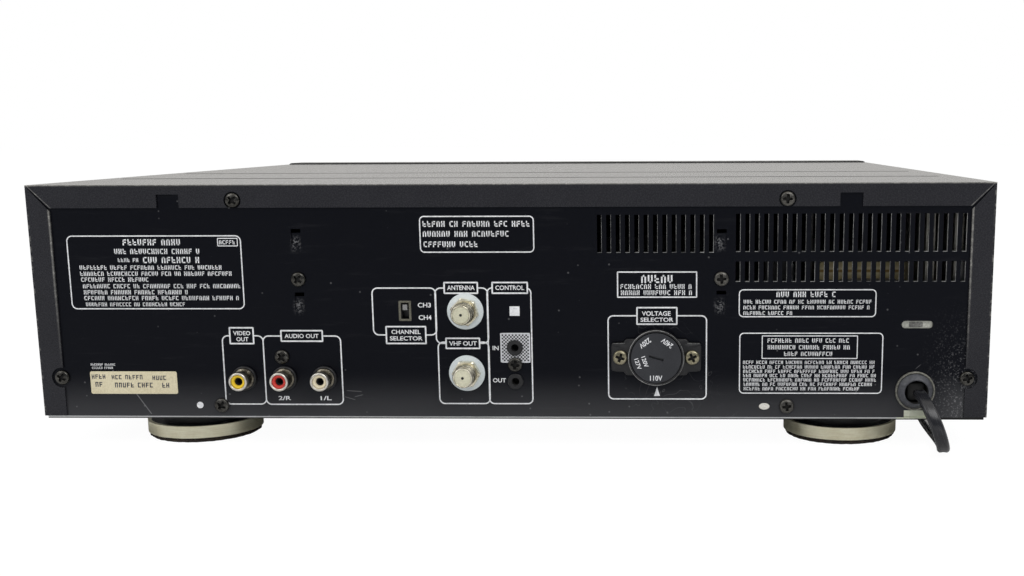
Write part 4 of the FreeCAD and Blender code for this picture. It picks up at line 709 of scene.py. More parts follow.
def leadLine(k):
    # a smooth spline pulled toward the route's points, the coil's and the last few
    points = np.concatenate([np.array(k["route"]), coilPoints(k), np.array(k["leave"])]) * mm
    curve = bpy.data.curves.new("leadLine", "CURVE")
    curve.dimensions = "3D"
    curve.resolution_u = 6
    line = curve.splines.new("NURBS")
    line.points.add(len(points) - 1)
    line.points.foreach_set("co", np.insert(points, 3, 1.0, 1).ravel())
    line.order_u = 3
    line.use_endpoint_u = True
    return seenMesh("leadLine", curve)[0]


def twinLead(k):
    # two round conductors side by side, webbed together, swept along the line
    path = leadLine(k)
    step = np.linalg.norm(np.diff(path, axis=0), axis=1)
    path = path[np.concatenate([[True], step > 1e-6])]
    step = np.linalg.norm(np.diff(path, axis=0), axis=1)
    along = np.concatenate([[0.0], np.cumsum(step)])
    print("lead %.3f m long" % along[-1])
    ahead = np.gradient(path, axis=0)
    ahead /= np.linalg.norm(ahead, axis=1)[:, None]
    start, end = k["twist"]
    turned = np.clip((along / mm - start) / (end - start), 0, 1)[:, None] * math.pi / 2
    wide = np.array([1.0, 0.0, 0.0]) * np.cos(turned) + np.array([0.0, 0.0, 1.0]) * np.sin(turned)
    wide = wide - ahead * np.sum(wide * ahead, 1)[:, None]
    wide /= np.linalg.norm(wide, axis=1)[:, None]
    thin = np.cross(ahead, wide)
    turn = fullTurn(k["steps"])
    r = k["thick"] / 2 * mm
    lobe = (k["width"] - k["thick"]) / 2 * mm
    webHalf, webThick = k["web"]
    onCore = np.abs(np.cos(turn)) > webHalf
    across = np.cos(turn) * r + np.sign(np.cos(turn)) * lobe * onCore
    through = np.sin(turn) * r * np.where(onCore, 1.0, webThick)
    ring = wide[:, None] * across[None, :, None] + thin[:, None] * through[None, :, None]
    made = newPiece("mains_lead", *capped(path[:, None] + ring), "leadVinyl", "cord_black")
    uvs = made.data.uv_layers.new(name="along")
    loops = np.empty(len(made.data.loops), int)
    made.data.loops.foreach_get("vertex_index", loops)
    u = (loops % len(turn)) / len(turn)
    v = along[loops // len(turn)]
    uvs.data.foreach_set("uv", np.stack([u, v], 1).ravel())
    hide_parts("cord_tube", "cord_coil")
    return made, path


mainsLead, leadPath = twinLead(lead)

plug = {
    "place": (-255.5, -104.8),
    "size": (26.0, 26.0, 15.0),
    "front": 12.0,
    "low": 0.2,
    "corner": 3.4,
    "rows": [  # share of the length, of the width and of the height: pinched for the fingers
        (0.0, 0.52, 0.62),
        (0.03, 0.64, 0.72),
        (0.1, 0.72, 0.8),
        (0.22, 0.76, 0.84),
        (0.36, 0.76, 0.86),
        (0.5, 0.78, 0.88),
        (0.62, 0.84, 0.92),
        (0.72, 0.94, 0.98),
        (0.78, 0.99, 1.0),
        (0.8, 1.0, 1.0),
        (0.97, 1.0, 1.0),
        (1.0, 0.97, 0.97),
    ],
    "tail": (4.2, 12.0, 7.7),  # radius, length and height of its middle
    "tailRings": (4, 0.8),  # count, and radius between them in shares
    "tailTaper": 0.78,  # radius at the lead in shares
    "tailEnds": (2.95, 3.2),  # radii where it meets the lead and the body
    "bladeSpan": 12.7,
    "blade": (1.5, 17.0, 6.4),
    "bladeUp": 4.5,
    "bladeTip": [(1.6, 1), (0.5, 0.82), (0.0, 0.6)],  # back from the end, and share of the section
}


def boxRings(rows, corner, steps=10):
    # rounded rectangles one behind another: y, middle x, middle z, half width and half height
    turn = np.linspace(0, math.pi / 2, steps)
    rings = []
    for y, x, z, wide, high in rows:
        r = min(corner, wide * 0.98, high * 0.98)
        for k, (sx, sz) in enumerate([(1, 1), (-1, 1), (-1, -1), (1, -1)]):
            a = turn + k * math.pi / 2
            across, up = x + sx * (wide - r) + r * np.cos(a), z + sz * (high - r) + r * np.sin(a)
            rings.append(np.stack([across, np.full(steps, y), up], 1))
    return np.concatenate(rings) * mm, gridFaces(len(rows), steps * 4, caps=True)


def addPlug(k):
    # rounded sections pinched for the fingers, a ringed tail that tapers, and two blades
    x, y = k["place"]
    wide, long, high = k["size"]
    front = y + k["front"]
    back = front - long
    z = k["low"] + high / 2
    rows = [(back + s * long, x, z, wide / 2 * p, high / 2 * t) for s, p, t in k["rows"]]
    radius, reach, level = k["tail"]
    count, between = k["tailRings"]
    along = np.linspace(0, 1, 25)
    rings = np.where((along * count * 2).astype(int) % 2 == 0, 1.0, between)
    shares = rings * (k["tailTaper"] + (1 - k["tailTaper"]) * along)
    taper = [(radius * share, a * (reach + 1)) for a, share in zip(along, shares)]
    first, last = k["tailEnds"]
    taper = [(first, 0.0)] + taper + [(last, reach + 1.2)]
    tail = lathe(taper, (x * mm, (back - reach) * mm, level * mm), 32)
    parts = [boxRings(rows, k["corner"]), tail]
    body = newPiece("plug_body", *merged(parts), "plugBlack", "cord_black")
    thick, reach, tall = k["blade"]
    blades = []
    for side in (-1, 1):
        cx, cz = x + side * k["bladeSpan"] / 2, k["bladeUp"] + tall / 2
        rows = [(front - 1, 1)] + [(front + reach - a, s) for a, s in k["bladeTip"]]
        rows = [(a, cx, cz, thick / 2 * s, tall / 2 * s) for a, s in rows]
        blades.append(boxRings(rows, 0.3, 4))
    pins = newPiece("plug_blades", *merged(blades), "nickel", "nickel", smooth=False)
    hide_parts("mains_plug")
    return [body, pins]


plugPieces = addPlug(plug)
print("lead made")


# white print on the rear panel
prints = {
    "thick": 0.03,
    "step": 0.15,  # each frame is thicker by this share, so that shared lines don't meet flush
    "frames": [  # left, low, right, high, corner radius and line width, in millimetres
        (-193.7, 49.5, -116.8, 81.6, 2.3, 0.5),
        (-126.9, 77.2, -118.2, 80.5, 0.2, 0.35),
        (-127.6, 6.5, -109.4, 37.4, 2.4, 0.56),
        (-109.4, 6.4, -74.8, 37.3, 2.4, 0.56),
        (-59.9, 37.8, -31.9, 58.6, 2.4, 0.56),
        (-32.15, 34.05, -9.0, 58.6, 2.4, 0.56),
        (-31.5, 6.9, -9.0, 34.6, 2.4, 0.56),
        (-9.25, 6.9, 10.0, 58.6, 2.2, 0.56),
        (-37.8, 74.3, 11.7, 89.8, 1.8, 0.5),
        (48.0, 54.5, 82.4, 65.5, 0.15, 0.55),
        (43.7, 9.15, 86.8, 46.3, 2.2, 0.56),
        (101.0, 45.9, 160.2, 57.7, 1.8, 0.45),
        (101.4, 11.85, 163.7, 38.6, 1.8, 0.45),
        (111.2, 27.4, 152.7, 37.4, 0.15, 0.4),
    ],
    "labels": [  # boxes that stand in a frame's line
        (-124.1, 33.9, -113.6, 41.0),
        (-101.2, 35.0, -82.8, 39.7),
        (-54.3, 34.0, -36.8, 41.5),
        (-28.0, 56.3, -13.4, 61.0),
        (-27.9, 31.8, -13.1, 36.3),
        (-6.9, 56.3, 8.5, 61.0),
        (56.4, 42.6, 73.8, 49.9),
    ],
    "labelLine": (0.12, 0.66, 3.5),  # corner, width, and thickness in shares of a frame's
    "words": [  # generic words, with left, right, low and high
        ("VIDEO", -122.6, -114.9, 37.6, 39.5),
        ("OUT", -121.3, -115.9, 34.9, 36.8),
        ("AUDIO OUT", -99.7, -84.5, 36.35, 38.25),
        ("2/R", -103.9, -98.3, 8.3, 10.2),
        ("1/L", -85.0, -80.1, 8.3, 10.2),
        ("CHANNEL", -52.0, -39.1, 38.2, 40.1),
        ("SELECTOR", -52.8, -38.3, 35.3, 37.2),
        ("CH3", -39.9, -34.1, 50.0, 52.1),
        ("CH4", -39.7, -34.0, 44.5, 46.6),
        ("ANTENNA", -26.7, -14.6, 57.7, 59.7),
        ("VHF OUT", -26.6, -14.3, 33.0, 35.0),
        ("CONTROL", -5.5, 7.1, 57.7, 59.7),
        ("IN", -7.4, -4.7, 31.0, 32.9),
        ("OUT", -7.6, -1.8, 16.5, 18.4),
        ("VOLTAGE", 58.5, 71.1, 46.3, 48.3),
        ("SELECTOR", 57.9, 72.3, 43.6, 45.5),
    ],
    "small": [  # lines of small print that can't be read: left, right, low, letter height
        (-169.0, -141.5, 77.5, 2.7),
        (-173.0, -133.5, 73.7, 2.3),
        (-171.7, -162.0, 70.2, 1.7),
        (-160.5, -134.5, 69.7, 2.7),
        (-189.0, -125.5, 66.8, 1.9),
        (-189.0, -121.0, 64.1, 1.9),
        (-188.8, -156.3, 61.5, 1.9),
        (-188.2, -117.9, 58.6, 1.9),
        (-188.0, -140.5, 55.9, 1.9),
        (-188.0, -118.0, 53.3, 1.9),
        (-187.5, -142.3, 50.6, 1.7),
        (-126.3, -118.8, 77.9, 1.8),
        (-187.7, -176.1, 23.9, 1.0),
        (-187.2, -177.2, 22.4, 1.0),
        (-36.6, 10.4, 85.3, 2.5),
        (-36.6, 3.6, 81.0, 2.5),
        (-36.4, -11.0, 76.5, 2.5),
        (58.3, 72.2, 60.7, 3.5),
        (49.2, 81.2, 58.1, 2.1),
        (49.4, 81.2, 55.4, 2.1),
        (117.1, 144.6, 54.5, 2.4),
        (102.9, 158.5, 51.6, 1.7),
        (102.8, 158.5, 49.1, 1.7),
        (102.8, 124.9, 46.6, 1.7),
        (113.5, 150.2, 34.4, 1.9),
        (113.6, 150.3, 31.4, 1.9),
        (120.8, 143.1, 28.5, 1.9),
        (102.9, 161.3, 24.9, 1.5),
        (102.9, 161.3, 22.85, 1.5),
        (103.0, 161.3, 20.9, 1.5),
        (103.0, 161.3, 19.0, 1.5),
        (103.1, 161.3, 17.05, 1.5),
        (103.2, 161.3, 15.1, 1.5),
        (103.3, 154.5, 13.1, 1.5),
    ],
    "square": (0.5, 46.3, 4.9, 50.5),
    "dot": (-139.5, 6.0, 1.5),
    "pointer": [(63.8, 10.5), (66.4, 10.5), (65.1, 14.6)],
    "bold": 0.018,
    "seed": 7,
}


def onPanel(across, height, out):  # many points at once
    across, height, out = np.broadcast_arrays(across, height, out)
    points = [-across * mm, panelY + out * mm, panBottom + height * mm]
    return np.stack(points, -1).reshape(-1, 3)


def round2d(cx, cz, radius, turn):  # points of a circle or arc, across and up
    return np.stack([cx + radius * np.cos(turn), cz + radius * np.sin(turn)], 1)


def roundPanel(cx, cz, radius, out, turn):  # the same on the panel, at a height from it
    return onPanel(cx + radius * np.cos(turn), cz + radius * np.sin(turn), out)


def roundedFrame(x0, z0, x1, z1, radius, steps=8):
    # the outline from corner to corner: a quarter circle at each, joined by the straight sides
    turn = np.linspace(0, math.pi / 2, steps)
    left, right, low, high = x0 + radius, x1 - radius, z0 + radius, z1 - radius
    middles = [(right, high), (left, high), (left, low), (right, low)]
    arcs = [round2d(*m, radius, turn + k * math.pi / 2) for k, m in enumerate(middles)]
    return np.concatenate(arcs)


def plate(outline, near, far):  # an outline on the panel, made solid between two heights
    return capped([onPanel(outline[:, 0], outline[:, 1], h) for h in (near, far)])


def band(points, width, thick, closed=True):
    # a flat band of constant width along a line on the panel
    after, before = np.roll(points, -1, 0), np.roll(points, 1, 0)
    if not closed:
        after[-1], before[0] = points[-1], points[0]
    norm = lambda v: v / np.maximum(np.linalg.norm(v, axis=1), 1e-9)[:, None]
    beside = lambda v: np.stack([-v[:, 1], v[:, 0]], 1)
    along, back = norm(after - points), norm(points - before)
    side = beside(norm(along + back))
    reach = width / 2 / np.maximum(np.abs(np.sum(side * beside(back), 1)), 0.5)
    out, into = points + side * reach[:, None], points - side * reach[:, None]
    section = ((out, thick), (into, thick), (into, 0.0), (out, 0.0))
    rows = np.stack([onPanel(p[:, 0], p[:, 1], h) for p, h in section], 1)
    count = len(points)
    faces = gridFaces(count, 4, caps=not closed)
    return rows.reshape(-1, 3), faces + (lastToFirst(count, 4) if closed else [])


def bars(boxes, thick, base=0.0):
    # many thin plates, each from left, low, right and high
    x0, z0, x1, z1 = np.asarray(boxes, float).T
    xs = np.stack([x0, x1, x1, x0] * 2, 1)
    zs = np.stack([z0, z0, z1, z1] * 2, 1)
    outs = np.array([base] * 4 + [base + thick] * 4)[None, :]
    box = [(3, 2, 1, 0), (4, 5, 6, 7), (0, 1, 5, 4), (1, 2, 6, 5), (2, 3, 7, 6), (3, 0, 4, 7)]
    faces = (np.arange(len(x0))[:, None, None] * 8 + np.array(box)).reshape(-1, 4).tolist()
    return onPanel(xs, zs, outs), faces


def smallPrint(lines, seed):
    # rows of marks the size of letters, in groups the size of words; they spell nothing
    chance = np.random.RandomState(seed)
    boxes = []
    for left, right, low, tall in lines:
        cell, thick = tall * 0.82, tall * 0.2
        place, word = left, chance.randint(3, 9)
        while place + cell * 0.8 < right:
            if word == 0:
                word = chance.randint(2, 10)
                place += cell * 0.75
                continue
            word -= 1
            end, kind = place + cell * 0.74, chance.randint(0, 6)
            bar = low + tall * 0.4
            strokes = [  # upright, right, head, middle and foot, with the kinds that have each
                ("012345", place, low, place + thick, low + tall),
                ("024", end - thick, low, end, low + tall),
                ("125", place, low + tall - thick, end, low + tall),
                ("013", place, bar, place + (end - place) * 0.9, bar + thick),
                ("345", place, low, end, low + thick),
            ]
            boxes += [box for kinds, *box in strokes if str(kind) in kinds]
            place += cell
    return boxes


def lettering(text, left, right, low, high, thick):
    # a word as flat outlines, stretched to a rectangle
    curve = bpy.data.curves.new("word", "FONT")
    curve.body = text
    curve.offset = prints["bold"]
    curve.extrude = 0.5
    curve.resolution_u = 3
    points, faces = seenMesh("word", curve)
    start, size = points.min(0), np.ptp(points, axis=0)
    room = np.array([right - left, high - low, thick])
    return (points - start) / size * room + np.array([left, low, 0.0]), faces


def splitLine(outline, labels, step=0.3):
    # the stretches of a closed outline that stand outside every label
    along = np.roll(outline, -1, 0) - outline
    counts = np.maximum(1, (np.linalg.norm(along, axis=1) / step).astype(int))
    order = np.arange(counts.sum()) - np.repeat(np.cumsum(counts) - counts, counts)
    share = (order / np.repeat(counts, counts))[:, None]
    line = np.repeat(outline, counts, 0) + np.repeat(along, counts, 0) * share
    hidden = np.zeros(len(line), bool)
    for corners in labels:
        low, high = np.array(corners[:2]), np.array(corners[2:])
        hidden |= ((line > low) & (line < high)).all(1)
    if not hidden.any():
        return None
    first = int(np.argmax(hidden & ~np.roll(hidden, -1))) + 1
    line, hidden = np.roll(line, -first, 0), np.roll(hidden, -first)
    cuts = np.flatnonzero(np.diff(hidden.astype(int))) + 1
    pieces = zip(np.split(line, cuts), np.split(hidden, cuts))
    return [piece for piece, gone in pieces if not gone[0] and len(piece) > 2]


def rearPrints(k):
    # frames, the labels' boxes, words, small print, and three plain marks, all as one piece
    parts = []
    thick = k["thick"]
    for level, (*corners, radius, width) in enumerate(k["frames"]):
        tall = thick * (1 + k["step"] * level)
        outline = roundedFrame(*corners, radius)
        open_ = splitLine(outline, k["labels"])
        if open_ is None:
            parts.append(band(outline, width, tall))
        else:
            parts += [band(piece, width, tall, False) for piece in open_]
    corner, width, share = k["labelLine"]
    for label in k["labels"]:
        parts.append(band(roundedFrame(*label, corner, 3), width, thick * share))
    for text, *room in k["words"]:
        flat, faces = lettering(text, *room, thick)
        parts.append((onPanel(*flat.T), faces))
    parts.append(bars(smallPrint(k["small"], k["seed"]) + [k["square"]], thick))
    parts.append(plate(round2d(*k["dot"], fullTurn(24)), 0.0, thick))
    parts.append(plate(np.array(k["pointer"]), 0.0, thick))
    newPiece("rear_prints", *merged(parts), "printWhite", "panel_black", smooth=False)


rearPrints(prints)

checker = {
    "square": (-3.9, 25.4, 9.3, 38.7),
    "hole": (2.5, 32.1, 3.1),
    "thick": 0.04,
    "steps": 64,
}


def checkerPatch(k):
    # a square plate round the upper control socket: rings that pass from the square to the hole
    x0, z0, x1, z1 = k["square"]
    cx, cz, radius = k["hole"]
    turn = fullTurn(k["steps"])
    c, s = np.cos(turn), np.sin(turn)
    reachX = np.where(c > 0, x1 - cx, cx - x0) / np.maximum(np.abs(c), 1e-6)
    reachZ = np.where(s > 0, z1 - cz, cz - z0) / np.maximum(np.abs(s), 1e-6)
    outer = np.minimum(reachX, reachZ)
    rings = [(outer, 0.0), (outer, k["thick"]), (radius, k["thick"]), (radius, 0.0)]
    verts = np.concatenate([roundPanel(cx, cz, r, h, turn) for r, h in rings])
    faces = gridFaces(4, k["steps"]) + lastToFirst(4, k["steps"])
    newPiece("control_patch", verts, faces, "checkPrint", "panel_black", smooth=False)


checkerPatch(checker)

sticker = {
    "place": (-188.3, 11.1, -149.1, 21.3),
    "round": 0.8,
    "thick": 0.12,
    "rows": [
        (-187.6, -180.6, 17.9, 2.0),
        (-178.6, -163.4, 17.7, 2.0),
        (-160.2, -152.6, 17.4, 2.0),
        (-186.2, -181.6, 14.3, 2.2),
        (-177.4, -157.4, 14.0, 2.2),
        (-156.0, -151.6, 13.9, 2.2),
    ],
    "ink": 0.02,
    "seed": 3,
}


def addSticker(k):
    # a rounded plate, and rows of marks on its face
    paper = plate(roundedFrame(*k["place"], k["round"]), 0.0, k["thick"])
    newPiece("paper_sticker", *paper, "stickerPaper", "washer_grey", smooth=False)
    marks = bars(smallPrint(k["rows"], k["seed"]), k["ink"], k["thick"])
    newPiece("sticker_marks", *marks, "inkDark", "washer_grey", smooth=False)


addSticker(sticker)
print("print made")


# screws, sockets and other rear pieces
screws = {
    "radius": 3.2,
    "height": 1.9,
    "dome": (0.75, 0.35, 0.9),  # fall to the rim, extra fall at the rim, and where that starts
    "cross": (1.95, 0.52, 1.3),  # reach, half width and depth
    "soft": 0.14,
    "rings": [*np.linspace(0.0, 0.7, 20, endpoint=False)[1:], 0.7, 0.8, 0.88, 0.94, 0.98, 1.0],
    "steps": 72,
    "turn": 0.83,  # from one screw to the next
    "dark": [
        (-200.8, 18.6),
        (200.8, 18.6),
        (-129.5, 6.0),
        (122.3, 6.0),
        (-92.1, 62.5),
        (93.2, 62.5),
        (-119.1, 97.0),
        (121.3, 97.0),
        (-101.2, 27.9),
        (2.5, 24.6),
    ],
    "light": [(49.0, 28.2), (80.6, 28.2)],
    "lightSeat": 2.2,
}


def addScrews(k, name, places, seat, tilt, look):
    # a domed disc whose height sinks inside a cross; the cross is turned a little at each place,
    # and its deep faces take painted shade
    turn, radius, count = fullTurn(k["steps"]), k["radius"], k["steps"]
    r = np.array(k["rings"])[:, None] * radius
    fall, edgeFall, edgeStart = k["dome"]
    reach, half, depth = k["cross"]
    inside = lambda a, limit: np.clip((limit - np.abs(a)) / k["soft"] + 0.5, 0, 1)
    parts, deep = [], []
    for index, (across, height) in enumerate(places):
        angle = turn + tilt + index * k["turn"]
        u, v = r * np.cos(angle), r * np.sin(angle)
        edge = np.clip(r / radius - edgeStart, 0, 1) / (1 - edgeStart)
        dome = k["height"] - fall * (r / radius) ** 2 - edgeFall * edge
        wide = half * (1.25 - 0.35 * np.maximum(np.abs(u), np.abs(v)) / reach)
        slot = np.maximum(inside(u, wide) * inside(v, reach), inside(v, wide) * inside(u, reach))
        rings = roundPanel(across, height, r, seat + dome - slot * depth, turn)
        foot = roundPanel(across, height, radius, seat, turn)
        middle = onPanel([across], [height], [seat + k["height"] - depth])
        rows = len(r) + 1
        faces = gridFaces(rows, count)
        faces += [[rows * count, c, (c + 1) % count] for c in range(count)]
        faces.append(list(range((rows - 1) * count, rows * count)))
        parts.append((np.concatenate([rings, foot, middle]), faces))
        # painted shade: faces deep in the cross get the near-black finish
        low = slot[:-1].ravel() + slot[1:].ravel() > 1.0
        deep.append(np.concatenate([low, np.zeros(count, bool), np.ones(count, bool), [False]]))
    made = newPiece(name, *merged(parts), look, "screw_dark")
    made.data.materials.append(looks["recessShade"])
    made.data.polygons.foreach_set("material_index", np.concatenate(deep).astype(int))
    return made


heads = addScrews(screws, "screw_heads", screws["dark"], 0.0, 0.5, "screwDark")
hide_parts("rear_screws")
addScrews(screws, "selector_screws", screws["light"], screws["lightSeat"], 0.3, "screwOlive")


def turned(name, profile, places, steps, look, slot, shape=None, smooth=True, whole=False):
    # the same turned shape at several places, with a hole through it unless it is whole
    make = lathe if whole else looped
    parts = [make(profile, place, steps, shape) for place in places]
    return newPiece(name, *merged(parts), look, slot, smooth=smooth)


phono = {  # profiles are radius and distance from the panel
    "across": (-118.6, -100.5, -82.6),
    "up": 18.3,
    "shell": [
        (3.05, 0.4), (4.5, 0.4), (4.5, 1.6), (3.85, 1.9), (3.85, 6.6),
        (3.6, 6.9), (3.6, 7.4), (3.05, 7.4),
    ],
    "rim": [
        (3.3, 6.7), (3.9, 6.75), (4.15, 7.1), (4.15, 9.0), (4.0, 9.4),
        (3.75, 9.6), (3.4, 9.6), (3.15, 9.4), (3.02, 9.0), (3.0, 6.9),
    ],
    "insert": [
        (1.72, 1.9), (3.02, 2.0), (3.02, 8.7), (2.9, 8.95), (2.6, 9.0),
        (2.2, 8.95), (1.9, 8.6), (1.72, 8.0),
    ],
    "liner": [(0.0, 3.0), (1.3, 3.0), (1.3, 7.6), (1.74, 7.9), (1.78, 2.0), (0.0, 2.0)],
    "collar": [
        (0.0, 0.0), (5.5, 0.0), (5.5, 1.0), (5.3, 1.3), (4.9, 1.4),
        (4.5, 1.4), (4.5, 0.9), (0.0, 0.9),
    ],
    "ribs": (24, 0.05, 1.95, 6.5, 3.7),  # count, share of the radius, ends, and least radius
    "colours": ("phonoYellow", "phonoRed", "phonoCream"),
}


def phonoSockets(k):
    # a ribbed barrel behind a rolled rim, a coloured insert round a hole lined with painted shade,
    # and a stepped collar
    count, deep, start, end, least = k["ribs"]

    def ribbed(turn, r, along):
        on = (along > start * mm) & (along < end * mm) & (r > least * mm)
        return r * (1 + deep * np.sign(np.sin(count * turn)) * on)

    places = [panelPoint(a, k["up"]) for a in k["across"]]
    body = turned("phono_barrels", k["shell"], places, 96, "barrelDark", "nickel", ribbed, False)
    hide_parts("phono_shells")
    turned("phono_rims", k["rim"], places, 56, "nickelWarm", "nickel")
    turned("phono_collars", k["collar"], places, 56, "mouldedBlack", "moulding_black", whole=True)
    # painted shade: a near-black liner fills each socket's hole
    turned("phono_holes", k["liner"], places, 32, "deepBlack", "moulding_black", whole=True)
    for index, (place, colour) in enumerate(zip(places, k["colours"]), 1):
        name = "phono_insert_%d" % index
        turned(name, k["insert"], [place], 56, colour, "phono_colours")
    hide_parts("phono_inserts")


phonoSockets(phono)

aerial = {
    "across": -19.0,
    "ups": (48.3, 20.7),
    "reach": 12.6,
    "core": 4.45,  # radius at the middle of the thread
    "thread": (0.75, 0.42, 0.5, 11.25),  # pitch, depth and ends
    "rim": [  # this one, the face and the hole: radius and distance back from the reach
        (4.35, 1.1), (4.35, 0.35), (4.1, 0.05), (3.75, 0.0), (3.6, 0.1),
        (3.55, 0.35), (1.0, 0.42), (0.72, 0.5), (0.7, 4.0), (0.0, 4.0),
    ],
    "face": [(0.0, 0.45), (3.56, 0.45), (3.56, 0.28), (3.3, 0.2), (0.9, 0.2), (0.0, 0.2)],
    "hole": [(0.0, 0.3), (0.62, 0.3), (0.62, 0.17), (0.0, 0.17)],
    "nut": [
        (4.5, 0.5), (5.9, 0.5), (6.35, 0.8), (6.35, 3.35), (5.75, 3.7),
        (4.9, 3.7), (4.6, 3.4), (4.5, 3.1),
    ],
    "flats": (11.0, 4.9),  # width across them, and the radius from which they cut
    "turned": (0.25, 0.02),  # angle of each nut
    "disc": [(0.0, 0.0), (8.0, 0.0), (8.0, 0.35), (7.7, 0.5), (0.0, 0.5)],
}


def aerialSockets(k):
    # a threaded barrel, whose radius follows a saw along it and round it, with a chamfered nut
    pitch, deep, start, end = k["thread"]
    fromReach = lambda part: [(r, k["reach"] - a) for r, a in k[part]]
    rim, face, hole = fromReach("rim"), fromReach("face"), fromReach("hole")
    barrel = [(0.0, 0.4)] + [(k["core"], a) for a in np.linspace(start, end + 0.05, 90)] + rim
    across, least = k["flats"]

    def threaded(turn, r, along):
        cut = (along > start * mm) & (along < end * mm) & (r > (k["core"] - 0.15) * mm)
        saw = np.abs(((along / (pitch * mm) + turn / (2 * math.pi)) % 1) * 2 - 1)
        return r + cut * (saw - 0.5) * deep * mm

    def sixSided(angle):
        def shape(turn, r, along):
            side = (turn + angle) % (math.pi / 3) - math.pi / 6
            return np.minimum(r, np.where(r > least * mm, across / 2 * mm / np.cos(side), r))

        return shape

    places = [panelPoint(k["across"], up) for up in k["ups"]]
    turned("aerial_faces", face, places, 48, "socketFace", "nickel", whole=True)
    # painted shade: a near-black disc in each centre hole
    turned("aerial_holes", hole, places, 24, "deepBlack", "moulding_black", whole=True)
    metal = ("champagneNickel", "nickel")
    body = turned("aerial_barrels", barrel, places, 64, *metal, threaded, whole=True)
    nuts = [looped(k["nut"], p, 96, sixSided(a)) for p, a in zip(places, k["turned"])]
    newPiece("aerial_nuts", *merged(nuts), *metal, smooth=False)
    look = ("washerGrey", "washer_grey")
    washers = turned("aerial_discs", k["disc"], places, 64, *look, whole=True)
    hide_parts("aerial_sockets")
    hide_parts("aerial_washers")


aerialSockets(aerial)
print("sockets made")

jack = {
    "across": 2.5,
    "ups": (32.1, 17.0),
    "collar": [
        (2.35, -0.5), (3.5, -0.5), (3.5, 0.7), (3.3, 0.9), (2.9, 0.95),
        (2.6, 0.8), (2.35, 0.3),
    ],
    "ring": [(1.85, -0.6), (2.34, -0.6), (2.34, 0.25), (2.1, 0.38), (1.85, 0.25)],
    "bore": [(0.0, -5.0), (1.9, -5.0), (1.9, 0.1), (1.6, 0.05), (1.55, -4.5), (0.0, -4.5)],
}


def controlJacks(k):
    # a black collar with a rounded lip, a thin bright ring in it and a bore lined with painted
    # shade
    places = [panelPoint(k["across"], up) for up in k["ups"]]
    turned("jack_collars", k["collar"], places, 48, "mouldedBlack", "moulding_black")
    turned("jack_rings", k["ring"], places, 40, "steelDull", "nickel")
    # painted shade: a near-black cup lines each bore
    turned("jack_bores", k["bore"], places, 32, "deepBlack", "moulding_black", whole=True)


controlJacks(jack)

switch = {"middle": (-45.7, 48.5), "window": (5.6, 9.2), "wall": 1.0, "out": (-0.75, 0.55)}


def switchFrame(k):
    # a folded frame inside the window, deeper than the panel's face
    x, z = k["middle"]
    wide, high = [(side - k["wall"]) / 2 for side in k["window"]]
    base, tall = k["out"]
    outline = roundedFrame(x - wide, z - high, x + wide, z + high, 0.3, 4)
    verts, faces = band(outline, k["wall"], tall)
    verts[:, 1] += base * mm
    newPiece("switch_frame", verts, faces, "switchFrame", "nickel", smooth=False)


switchFrame(switch)

dial = {
    "middle": (64.8, 28.2),
    "face": 4.2,
    "numbers": [  # angle, distance from the middle, width and height
        ("110V", 0.0, 8.9, 5.4, 2.3),
        ("240V", 144.0, 8.2, 5.4, 2.3),
        ("220V", 216.0, 8.2, 5.4, 2.3),
        ("120V", 288.0, 5.2, 4.9, 1.9),
        ("127V", 288.0, 8.4, 4.9, 1.9),
    ],
    "thick": 0.03,
}


def dialNumbers(k):
    # each number has its head to the middle; angles are anticlockwise from the bottom
    parts = []
    cx, cz = k["middle"]
    for text, angle, radius, wide, tall in k["numbers"]:
        flat, faces = lettering(text, -wide / 2, wide / 2, -tall / 2, tall / 2, k["thick"])
        u, v = flat[:, 0], flat[:, 1] - radius
        c, s = math.cos(math.radians(angle)), math.sin(math.radians(angle))
        x, z = cx + u * c - v * s, cz + u * s + v * c
        parts.append((onPanel(x, z, k["face"] + flat[:, 2]), faces))
    newPiece("dial_numbers", *merged(parts), "printWhite", "panel_black", "voltage_dial", False)


dialNumbers(dial)

gland = {
    "middle": (178.4, 13.0),
    "steps": 72,
    "rim": [
        (7.6, 0.0), (8.7, 0.0), (8.7, 0.7), (8.55, 1.0), (8.25, 1.15),
        (7.95, 1.0), (7.85, 0.7), (7.6, 0.4),
    ],
    "cone": [  # radius, share of the hole's shift, and distance out
        (7.6, 0.0, -2.9),
        (7.7, 0.0, -0.5),
        (7.7, 0.0, 0.75),
        (7.55, 0.05, 1.1),
        (6.0, 0.8, 2.35),
        (5.75, 0.95, 2.55),
        (5.4, 1.0, 2.6),
        (5.15, 1.0, 2.3),
        (5.1, 1.0, -2.6),
        (0.4, 1.0, -2.7),
    ],
    "hole": (0.35, -0.3),  # how far it stands from the middle
    "dark": (5.3, 2.2),  # painted shade: faces within this radius and below this height are black
    "block": (3.7, 3.9),
    "levels": [(1.0, -2.5), (1.0, -0.1), (0.9, 0.3), (0.05, 0.3)],
}


